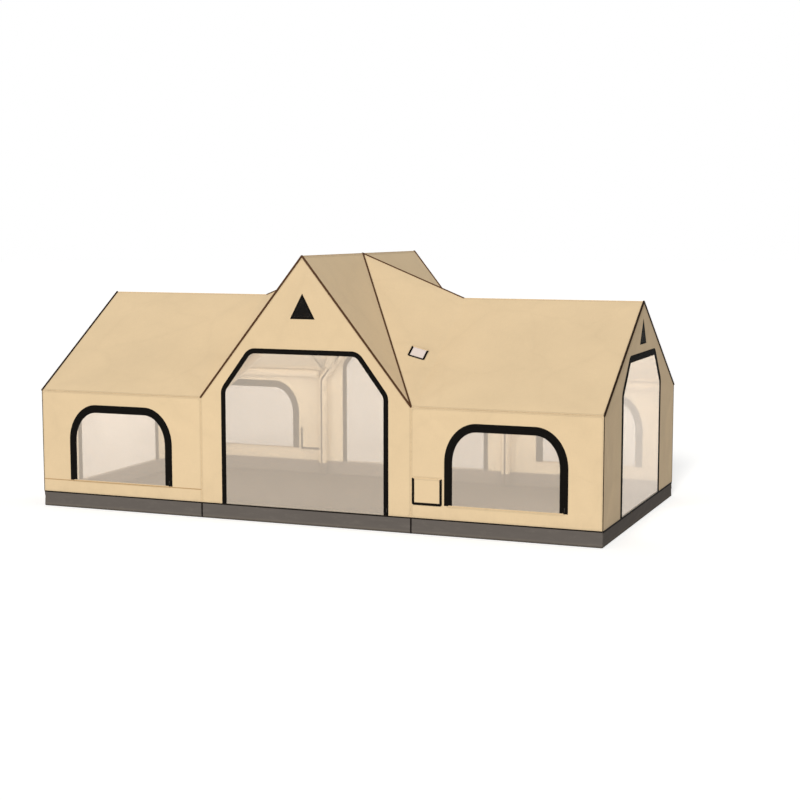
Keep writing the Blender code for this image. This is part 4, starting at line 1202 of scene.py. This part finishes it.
# ---------------------------------------------------------------- air beams in their sleeves
def rounded(points, radii, steps=12):
    points = [Vector(p) for p in points]
    line = [points[0]]
    for before, here, after, radius in zip(points, points[1:], points[2:], radii):
        a, b = (before - here).normalized(), (after - here).normalized()
        half = a.angle(b) / 2
        back = radius / math.tan(half)
        centre = here + (a + b).normalized() * (radius / math.sin(half))
        start, end = here + a * back - centre, here + b * back - centre
        sweep = start.angle(end)
        for n in range(steps + 1):
            t = n / steps
            line.append(centre + (math.sin((1 - t) * sweep) * start + math.sin(t * sweep) * end) / math.sin(sweep))
    line.append(points[-1])
    return line


BOOT = 0.185


def beam(name, line, ends, seed, nodes=(), sides=28, radius=BEAM_R):
    """A hard-blown tube in a sewn sleeve: closed ends, small pleats on the inside of its bends, and a
    slight unevenness where the sleeve wrinkles. ends says what each end is: foot, blunt or round."""
    line = [Vector(p) for p in line]
    at = [0.0]
    for a, b in zip(line, line[1:]):
        at.append(at[-1] + (b - a).length)
    total = at[-1]
    stops = set(at)
    for i in range(len(at) - 1):
        n = max(1, int(math.ceil((at[i + 1] - at[i]) / 0.06)))
        stops |= {at[i] + (at[i + 1] - at[i]) * k / n for k in range(n)}
    near = (0.0, 0.0015, 0.005, 0.011, 0.019, 0.029, 0.041, 0.055)
    stops |= {d for d in near} | {total - d for d in near}
    boots = [end == "foot" for end in ends]
    stops |= {d for boot, at_end in zip(boots, (0, 1)) if boot for d in ((BOOT, BOOT + 0.0012) if not at_end else (total - BOOT, total - BOOT - 0.0012))}
    order = sorted(stops)
    stops = [order[0]]
    for s in order[1:]:
        if s - stops[-1] > 0.0009:
            stops.append(s)
    if total - stops[-1] > 1e-9:
        stops[-1] = total

    def place(s):
        for i in range(len(at) - 1):
            if s <= at[i + 1] + 1e-12:
                return line[i].lerp(line[i + 1], (s - at[i]) / max(at[i + 1] - at[i], 1e-9))
        return line[-1]

    def size(s):
        f = 1.0
        for d, end in ((s, ends[0]), (total - s, ends[1])):
            if end == "round" and d < 0.055:
                f = min(f, 0.10 + 0.90 * math.sqrt(max(0.0, 1 - (1 - d / 0.055) ** 2)))
            elif end == "foot" and d < 0.019:
                f = min(f, 0.86 + 0.14 * math.sqrt(max(0.0, 1 - (1 - d / 0.019) ** 2)))
            elif end == "blunt" and d < 0.005:
                f = min(f, 0.96 + 0.04 * math.sqrt(max(0.0, 1 - (1 - d / 0.005) ** 2)))
        return f

    pts = [place(s) for s in stops]
    n = len(pts)
    along = []
    for i in range(n):
        a = (pts[i] - pts[i - 1]).normalized() if i else None
        b = (pts[i + 1] - pts[i]).normalized() if i < n - 1 else None
        along.append(((a or b) + (b or a)).normalized())
    ref = Vector((0, 0, 1)) if abs(along[0].z) < 0.9 else Vector((1, 0, 0))
    side = along[0].cross(ref).normalized()
    rng = np.random.default_rng(seed)
    phase = rng.uniform(0, 6.28, 4)
    verts, faces, ring_uv = [], [], []
    for i in range(n):
        side = (side - along[i] * side.dot(along[i])).normalized()
        up = along[i].cross(side)
        turn = along[min(n - 1, i + 2)] - along[max(0, i - 2)]
        bend = min(1.0, turn.length / 0.35)
        inward = turn.normalized() if turn.length > 1e-6 else None
        s = stops[i]
        for k in range(sides):
            a = 2 * math.pi * k / sides
            way = side * math.cos(a) + up * math.sin(a)
            r = radius * size(s)
            if (boots[0] and s < BOOT + 0.0001) or (boots[1] and total - s < BOOT + 0.0001):
                r += 0.0009
            r -= 0.0007 * (1 + math.sin(s * 21 + phase[0] + 1.3 * math.sin(a + phase[1]))) * min(1, size(s) * 1.0)
            if inward is not None and bend > 0.15:
                r -= 0.0045 * bend * max(0.0, way.dot(inward)) * (0.5 + 0.5 * math.sin(2 * math.pi * s / 0.034 + phase[2]))
            verts.append(tuple(pts[i] + way * r))
        ring_uv.append(s)
    loops = []
    for i in range(n - 1):
        for k in range(sides):
            l = (k + 1) % sides
            faces.append((i * sides + k, i * sides + l, (i + 1) * sides + l, (i + 1) * sides + k))
            v0, v1 = k * 2 * math.pi * radius / sides, (k + 1) * 2 * math.pi * radius / sides
            loops += [(ring_uv[i], v0), (ring_uv[i], v1), (ring_uv[i + 1], v1), (ring_uv[i + 1], v0)]
    for base, turnround in ((0, True), ((n - 1) * sides, False)):
        face = [base + k for k in range(sides)]
        faces.append(tuple(reversed(face)) if turnround else tuple(face))
        loops += [(radius * math.cos(2 * math.pi * k / sides), radius * math.sin(2 * math.pi * k / sides)) for k in range(sides)]
    mesh = bpy.data.meshes.new(name)
    mesh.from_pydata(verts, [], faces)
    layer = mesh.uv_layers.new(name="UVMap")
    layer.data.foreach_set("uv", np.array(loops, np.float32).ravel())
    mesh.shade_smooth()
    mesh.set_sharp_from_angle(angle=math.radians(50))
    obj = bpy.data.objects.new(name, mesh)
    bpy.context.scene.collection.objects.link(obj)
    obj.data.materials.append(SLEEVE)
    if any(boots):
        obj.data.materials.append(SLATE)
        for i in range(n - 1):
            if (boots[0] and stops[i + 1] < BOOT + 0.0014) or (boots[1] and total - stops[i] < BOOT + 0.0014):
                for k in range(sides):
                    obj.data.polygons[i * sides + k].material_index = 1
        for boot, cap in zip(boots, ((n - 1) * sides, (n - 1) * sides + 1)):
            if boot:
                obj.data.polygons[cap].material_index = 1
    fix_normals(obj)
    piece(obj, "tent", nodes)
    return obj


IN = SKIN + BEAM_CLEAR + BEAM_R
FOOT = SKIN + LIFT + 0.0006


def under_slope(slope):
    return 0.005 + (BEAM_R + BEAM_CLEAR) * math.hypot(1, slope)


end_x, edge_y = X1 - IN, Y1 - IN
corner_z = EAVE_Z - under_slope(WING_SLOPE) + WING_SLOPE * (Y1 - edge_y)
wing_top = EAVE_Z - under_slope(WING_SLOPE) + WING_SLOPE * Y1
gable_top = HIGH_Z - under_slope(GABLE_SLOPE)
bay_gap = BAY_X + BEAM_R + BEAM_CLEAR
for hand, sx in (("right", 1), ("left", -1)):
    arch = [(sx * end_x, -edge_y, FOOT), (sx * end_x, -edge_y, corner_z), (sx * end_x, 0, wing_top),
            (sx * end_x, edge_y, corner_z), (sx * end_x, edge_y, FOOT)]
    beam(f"beam_end_{hand}_arch", rounded(arch, (0.14, 0.12, 0.14)), ("foot", "foot"), 301 + sx, [f"beam_end_{hand}"])
    for tag, y in (("front", -edge_y), ("back", edge_y)):
        beam(f"beam_end_{hand}_eave_{tag}", [(sx * (end_x - 0.004), y, corner_z - 0.004), (sx * bay_gap, y, corner_z - 0.004)],
             ("blunt", "round"), 305 + sx)
    beam(f"beam_ridge_{hand}_tube", [(sx * (BAY_X + 0.014), 0, wing_top), (sx * (end_x - BEAM_R - BEAM_CLEAR), 0, wing_top)],
         ("round", "round"), 309 + sx, [f"beam_ridge_{hand}"])
for side, sy in (("front", -1), ("back", 1)):
    y = sy * edge_y
    knee = gable_top - GABLE_SLOPE * BAY_X
    arch = [(-BAY_X, y, FOOT), (-BAY_X, y, knee), (0, y, gable_top), (BAY_X, y, knee), (BAY_X, y, FOOT)]
    beam(f"beam_gable_{side}_arch", rounded(arch, (0.14, 0.12, 0.14)), ("foot", "foot"), 315 + sy, [f"beam_gable_{side}"])
ridge_end = edge_y - BEAM_R - BEAM_CLEAR
run = math.hypot(BAY_X, Y1)
valley, valley_drop, valley_end = Vector((BAY_X, Y1)) / run, (HIGH_Z - EAVE_Z) / run, run - 0.27
beam("beam_crown_ridge", [(0, -ridge_end, gable_top), (0, ridge_end, gable_top)], ("round", "round"), 321, ["beam_crown"])
for n, sx in enumerate((-1, 1)):
    tips = [(s * sx * valley.x * valley_end, s * valley.y * valley_end, gable_top - valley_drop * valley_end) for s in (-1, 1)]
    beam(f"beam_crown_valley_{n + 1}", rounded([tips[0], (0, 0, gable_top - 0.003 - 0.004 * n), tips[1]], (0.10,)),
         ("round", "round"), 323 + n)
drop_x, drop_z = BAY_X - 0.040, wing_top + RISE_SLOPE * 0.040 - 0.004
beam("beam_crown_rise", rounded([(-drop_x, 0, drop_z), (0, 0, gable_top - 0.011), (drop_x, 0, drop_z)], (0.10,)), ("round", "round"), 327)


def sleeve_zip(name, line, way):
    """The zip along a beam's sleeve, on the side that way points to."""
    pts = [Vector(p) + Vector(way) * (BEAM_R - 0.0105) for p in line]
    dense_pts = [pts[0]]
    for a, b in zip(pts, pts[1:]):
        n = max(1, int(math.ceil((b - a).length / 0.15)))
        dense_pts += [a.lerp(b, k / n) for k in range(1, n + 1)]
    piece(tube(name, dense_pts, 0.0158, SLEEVE_ZIP, sides=20), "tent")


for side, sy in (("front", -1), ("back", 1)):
    y, knee = sy * edge_y, gable_top - GABLE_SLOPE * BAY_X
    arch = rounded([(-BAY_X, y, FOOT + 0.03), (-BAY_X, y, knee), (0, y, gable_top), (BAY_X, y, knee), (BAY_X, y, FOOT + 0.03)], (0.14, 0.12, 0.14))
    sleeve_zip(f"beam_gable_{side}_zip", arch, (0, -sy, 0))
for hand, sx in (("right", 1), ("left", -1)):
    arch = rounded([(sx * end_x, -edge_y, FOOT + 0.03), (sx * end_x, -edge_y, corner_z), (sx * end_x, 0, wing_top),
                    (sx * end_x, edge_y, corner_z), (sx * end_x, edge_y, FOOT + 0.03)], (0.14, 0.12, 0.14))
    sleeve_zip(f"beam_end_{hand}_zip", arch, (-sx, 0, 0))


# ---------------------------------------------------------------- zip sliders
def prism(work, outline, holes, z0, z1, step, bevel=0.0):
    pts, tris, _ = filled(outline, holes, step)
    n = len(pts)
    vs = [work.verts.new((x, y, z)) for z in (z1, z0) for x, y in pts]
    ends = [(int(a), int(b)) for t in tris for a, b in ((t[0], t[1]), (t[1], t[2]), (t[2], t[0]))]
    have = set(ends)
    for t in tris:
        work.faces.new([vs[i] for i in t])
        work.faces.new([vs[i + n] for i in t[::-1]])
    for a, b in ends:
        if (b, a) not in have:
            work.faces.new([vs[b], vs[a], vs[a + n], vs[b + n]])


def capsule(half_w, y0, y1, steps=8):
    ring = []
    for cy, start in ((y1 - half_w, 0), (y0 + half_w, math.pi)):
        ring += [(half_w * math.cos(start + math.pi * n / steps), cy + half_w * math.sin(start + math.pi * n / steps))
                 for n in range(steps + 1)]
    return ring


def circle(cx, cy, r, n=12, turn=1):
    return [(cx + r * math.cos(turn * 2 * math.pi * k / n), cy + r * math.sin(turn * 2 * math.pi * k / n)) for k in range(n)]


def tube_into(work, points, radius, sides=8):
    pts = [Vector(p) for p in points]
    rings = []
    for i, p in enumerate(pts):
        a = (pts[min(i + 1, len(pts) - 1)] - pts[max(i - 1, 0)]).normalized()
        side = Vector((1, 0, 0))
        up = a.cross(side).normalized()
        rings.append([work.verts.new(p + (side * math.cos(2 * math.pi * k / sides) + up * math.sin(2 * math.pi * k / sides)) * radius)
                      for k in range(sides)])
    for r0, r1 in zip(rings, rings[1:]):
        for k in range(sides):
            l = (k + 1) % sides
            work.faces.new([r0[k], r0[l], r1[l], r1[k]])
    work.faces.new(rings[0][::-1])
    work.faces.new(rings[-1])


def zip_slider(name, face, x, z, lift):
    """Its body straddles the teeth, a bridge stands on it, and a long pull hangs from the bridge."""
    work = bmesh.new()
    shield = [(0.0040, 0.0150), (0.0066, 0.0120), (0.0068, 0.0040), (0.0050, -0.0070), (0.0042, -0.0145),
              (-0.0042, -0.0145), (-0.0050, -0.0070), (-0.0068, 0.0040), (-0.0066, 0.0120), (-0.0040, 0.0150)]
    prism(work, shield, [], lift, lift + 0.0014, 0.004)
    prism(work, [(px * 0.92, py * 0.96) for px, py in shield], [], lift + 0.0026, lift + 0.0041, 0.004)
    prism(work, [(0.0018, 0.0132), (-0.0018, 0.0132), (-0.0014, 0.0040), (0.0014, 0.0040)][::-1], [], lift + 0.0010, lift + 0.0030, 0.004)
    top = lift + 0.0040
    tube_into(work, [(0, 0.0100, top - 0.0006), (0, 0.0098, top + 0.0012), (0, 0.0080, top + 0.0021), (0, 0.0030, top + 0.0021),
                     (0, 0.0008, top + 0.0012), (0, 0.0004, top - 0.0006)], 0.0008)
    tab = [(px, py) for px, py in capsule(0.0044, -0.0390, 0.0064)]
    prism(work, tab, [circle(0, 0.0026, 0.0021), circle(0, -0.0345, 0.0017)], top + 0.0004, top + 0.0018, 0.003)
    bmesh.ops.recalc_face_normals(work, faces=work.faces)
    mesh = bpy.data.meshes.new(name)
    work.to_mesh(mesh)
    work.free()
    mesh.transform(face @ Matrix.Translation((x, z, 0)))
    mesh.shade_smooth()
    mesh.set_sharp_from_angle(angle=math.radians(32))
    obj = bpy.data.objects.new(name, mesh)
    bpy.context.scene.collection.objects.link(obj)
    obj.data.materials.append(ZINC)
    edge = obj.modifiers.new("soft_edges", "BEVEL")
    edge.width, edge.segments, edge.limit_method, edge.angle_limit = 0.00022, 1, "ANGLE", math.radians(40)
    return obj


LEAF_FACE = LIFT + TAPE
for tag, face, door in (("front", FRONT, MAIN_DOOR), ("back", BACK, MAIN_DOOR), ("right", RIGHT, END_DOOR), ("left", LEFT, END_DOOR)):
    name = f"slider_door_{tag}"
    piece(zip_slider(name + "_zinc", face, door["half"] + 0.011, 0.290, LEAF_FACE + LIFT), name, [name])
for side, face in (("front", FRONT), ("back", BACK)):
    for hand, sign in (("right", 1), ("left", -1)):
        name = f"slider_window_{side}_" + (hand if side == "front" else {"right": "left", "left": "right"}[hand])
        piece(zip_slider(name + "_zinc", face, sign * WINDOW_X + WINDOW["half"] + 0.011, 0.450, LEAF_FACE + LIFT), name, [name])
    name = f"slider_port_{side}"
    piece(zip_slider(name + "_zinc", face, PORT["right"] + 0.010, PORT["high"] - 0.030, 0.0010), name, [name])
piece(zip_slider("slider_stove_zinc", STOVE, STOVE_HALF[0] + 0.010, STOVE_HALF[1] - 0.030, 0.0010), "slider_stove", ["slider_stove"])


# ---------------------------------------------------------------- inflation valve
def lathe(name, profile, matrix, material, sides=48, ribs=None):
    """A turned piece: profile is a closed loop of (radius, height), ribs = (lowest, highest radius, count, depth)."""
    verts, faces = [], []
    m = len(profile)
    for k in range(sides):
        a = 2 * math.pi * k / sides
        for r, h in profile:
            if ribs and ribs[0] <= r <= ribs[1]:
                r -= ribs[3] * (0.5 + 0.5 * math.cos(a * ribs[2]))
            verts.append(tuple(matrix @ Vector((r * math.cos(a), r * math.sin(a), h))))
    for k in range(sides):
        l = (k + 1) % sides
        for i in range(m):
            j = (i + 1) % m
            faces.append((k * m + i, l * m + i, l * m + j, k * m + j))
    obj = new_object(name, verts, faces, material, None, True, None, 40)
    fix_normals(obj)
    return obj


seat = axes((BAY_X + BEAM_R + 0.0012, -edge_y, 0.55), (0, 1, 0), (0, 0, 1))
body = lathe("valve_base", [(0.0135, 0.0), (0.0292, 0.0), (0.0300, 0.0008), (0.0300, 0.0036), (0.0288, 0.0048), (0.0206, 0.0052),
                            (0.0190, 0.0062), (0.0190, 0.0085), (0.0186, 0.0090), (0.0190, 0.0095), (0.0190, 0.0150), (0.0184, 0.0155),
                            (0.0190, 0.0160), (0.0190, 0.0200), (0.0180, 0.0210), (0.0145, 0.0210), (0.0135, 0.0200)],
             seat, NYLON, 64, (0.0299, 0.0301, 24, 0.0007))
piece(body, "tent", ["valve_body"])
spring = lathe("valve_plunger", [(0.0006, 0.0100), (0.0050, 0.0104), (0.0060, 0.0116), (0.0060, 0.0150), (0.0050, 0.0162), (0.0006, 0.0166)],
               seat, ZINC, 32)
piece(spring, "tent")
spokes = bmesh.new()
for k in range(3):
    a = 2 * math.pi * k / 3
    way = Vector((math.cos(a), math.sin(a), 0))
    side = Vector((-math.sin(a), math.cos(a), 0))
    ring = [way * 0.004 + side * 0.0011, way * 0.0142 + side * 0.0011, way * 0.0142 - side * 0.0011, way * 0.004 - side * 0.0011]
    lo = [spokes.verts.new(p + Vector((0, 0, 0.0108))) for p in ring]
    hi = [spokes.verts.new(p + Vector((0, 0, 0.0126))) for p in ring]
    spokes.faces.new(lo[::-1])
    spokes.faces.new(hi)
    for i in range(4):
        j = (i + 1) % 4
        spokes.faces.new([lo[i], lo[j], hi[j], hi[i]])
bmesh.ops.recalc_face_normals(spokes, faces=spokes.faces)
mesh = bpy.data.meshes.new("valve_spider")
spokes.to_mesh(mesh)
spokes.free()
mesh.transform(seat)
obj = bpy.data.objects.new("valve_spider", mesh)
bpy.context.scene.collection.objects.link(obj)
obj.data.materials.append(NYLON)
piece(obj, "tent")
arm = bmesh.new()
prism(arm, [(0.0188, -0.005), (0.0262, -0.005), (0.0270, -0.003), (0.0270, 0.003), (0.0262, 0.005), (0.0188, 0.005)], [], 0.0032, 0.0202, 0.006)
bmesh.ops.recalc_face_normals(arm, faces=arm.faces)
mesh = bpy.data.meshes.new("valve_arm")
arm.to_mesh(mesh)
arm.free()
mesh.transform(seat)
obj = bpy.data.objects.new("valve_arm", mesh)
bpy.context.scene.collection.objects.link(obj)
obj.data.materials.append(NYLON)
piece(obj, "tent")
cap_frame = seat @ Matrix.Translation((0.024, 0, 0.0215)) @ Matrix.Translation((-0.024, 0, 0))
cap = lathe("valve_lid", [(0.0002, 0.0004), (0.0120, 0.0004), (0.0126, 0.0002), (0.0204, 0.0002), (0.0210, 0.0010), (0.0210, 0.0048),
                          (0.0200, 0.0060), (0.0160, 0.0060), (0.0150, 0.0054), (0.0002, 0.0054)], cap_frame, NYLON, 64,
            (0.0209, 0.0211, 24, 0.0006))
lug = bmesh.new()
prism(lug, [(0.0190, -0.006), (0.0228, -0.006), (0.0237, -0.005), (0.0237, 0.005), (0.0228, 0.006), (0.0190, 0.006)], [], 0.0010, 0.0048, 0.006)
bmesh.ops.recalc_face_normals(lug, faces=lug.faces)
mesh = bpy.data.meshes.new("valve_lid_lug")
lug.to_mesh(mesh)
lug.free()
mesh.transform(cap_frame)
obj = bpy.data.objects.new("valve_lid_lug", mesh)
bpy.context.scene.collection.objects.link(obj)
obj.data.materials.append(NYLON)
piece(cap, "valve_cap", ["valve_cap"])
piece(obj, "valve_cap")

# ---------------------------------------------------------------- studio
def flat_material(name, colour, rough, glow=0.0):
    m = Mat(name)
    m.link(m.mix(m.range(m.noise(0.35, 3.0), 0.3, 0.7, 0.0, 0.05), colour, tuple(c * 0.9 for c in colour)), m.bsdf.inputs["Base Color"])
    m.bsdf.inputs["Roughness"].default_value = rough
    m.bsdf.inputs["Specular IOR Level"].default_value = 0.2
    m.bsdf.inputs["Emission Color"].default_value = (1, 1, 1, 1)
    m.bsdf.inputs["Emission Strength"].default_value = glow
    return m.mat


bpy.ops.mesh.primitive_circle_add(vertices=96, radius=150, fill_type="NGON", location=(0, 0, 0))
floor = bpy.context.object
floor.name = "studio_floor"
floor.data.materials.append(flat_material("studio_floor", (0.80, 0.79, 0.77), 0.9, 0.50))
floor.visible_diffuse = False
bpy.ops.mesh.primitive_uv_sphere_add(segments=48, ring_count=24, radius=160)
dome = bpy.context.object
dome.name = "studio_backdrop"
paint = bpy.data.materials.new("studio_backdrop")
paint.use_nodes = True
paint.node_tree.nodes.clear()
glow = paint.node_tree.nodes.new("ShaderNodeEmission")
glow.inputs["Color"].default_value, glow.inputs["Strength"].default_value = (1, 1, 1, 1), 1.0
out = paint.node_tree.nodes.new("ShaderNodeOutputMaterial")
paint.node_tree.links.new(glow.outputs[0], out.inputs["Surface"])
dome.data.materials.append(paint)
dome.visible_diffuse = dome.visible_glossy = dome.visible_shadow = dome.visible_volume_scatter = False

world = bpy.data.worlds.new("soft_sky")
bpy.context.scene.world = world
world.use_nodes = True
sky = world.node_tree.nodes["Background"]
sky.inputs["Color"].default_value, sky.inputs["Strength"].default_value = (0.97, 0.985, 1.0, 1), 0.42

sun = bpy.data.lights.new("key", "SUN")
sun.energy, sun.angle, sun.color = 0.635 * math.pi, math.radians(9), (1.0, 0.99, 0.97)
lamp = bpy.data.objects.new("key", sun)
lamp.rotation_euler = Vector((0.11, -0.90, 0.425)).to_track_quat("Z", "Y").to_euler()
bpy.context.scene.collection.objects.link(lamp)
for n, (x, y, z, energy) in enumerate(((0, 0, 1.75, 90), (-2.6, 0, 1.35, 70), (2.6, 0, 1.35, 72))):
    light = bpy.data.lights.new(f"inside_{n}", "POINT")
    light.shadow_soft_size, light.energy, light.color = 0.45, energy, (1.0, 0.975, 0.94)
    lamp = bpy.data.objects.new(f"inside_{n}", light)
    lamp.location = (x, y, z)
    lamp.visible_camera = False
    bpy.context.scene.collection.objects.link(lamp)

# netting scatters on the light that stands in the tent behind it: a soft light on the end nets only
nets = bpy.data.collections.new("end_nets")
for name in ("door_right_net", "door_left_net"):
    nets.objects.link(bpy.data.objects[name])
for tag, x in (("right", 1), ("left", -1)):
    light = bpy.data.lights.new(f"net_{tag}", "SUN")
    light.energy, light.angle, light.color = 0.74 * math.pi, math.radians(30), (1.0, 0.985, 0.96)
    lamp = bpy.data.objects.new(f"net_{tag}", light)
    lamp.rotation_euler = Vector((x, 0, 0.1)).to_track_quat("Z", "Y").to_euler()
    bpy.context.scene.collection.objects.link(lamp)
    lamp.light_linking.receiver_collection = nets

cam = bpy.data.cameras.new("camera")
cam.lens, cam.sensor_width, cam.clip_start, cam.clip_end = 70.3, 36, 0.1, 600
camera = bpy.data.objects.new("camera", cam)
camera.location = (8.59, -20.17, 3.9)
camera.rotation_euler = (math.radians(90 - 6.41), 0, math.radians(21.71))
bpy.context.scene.collection.objects.link(camera)
bpy.context.scene.camera = camera
bpy.context.scene.view_settings.view_transform = "Standard"
bpy.context.scene.view_settings.look = "None"

import json
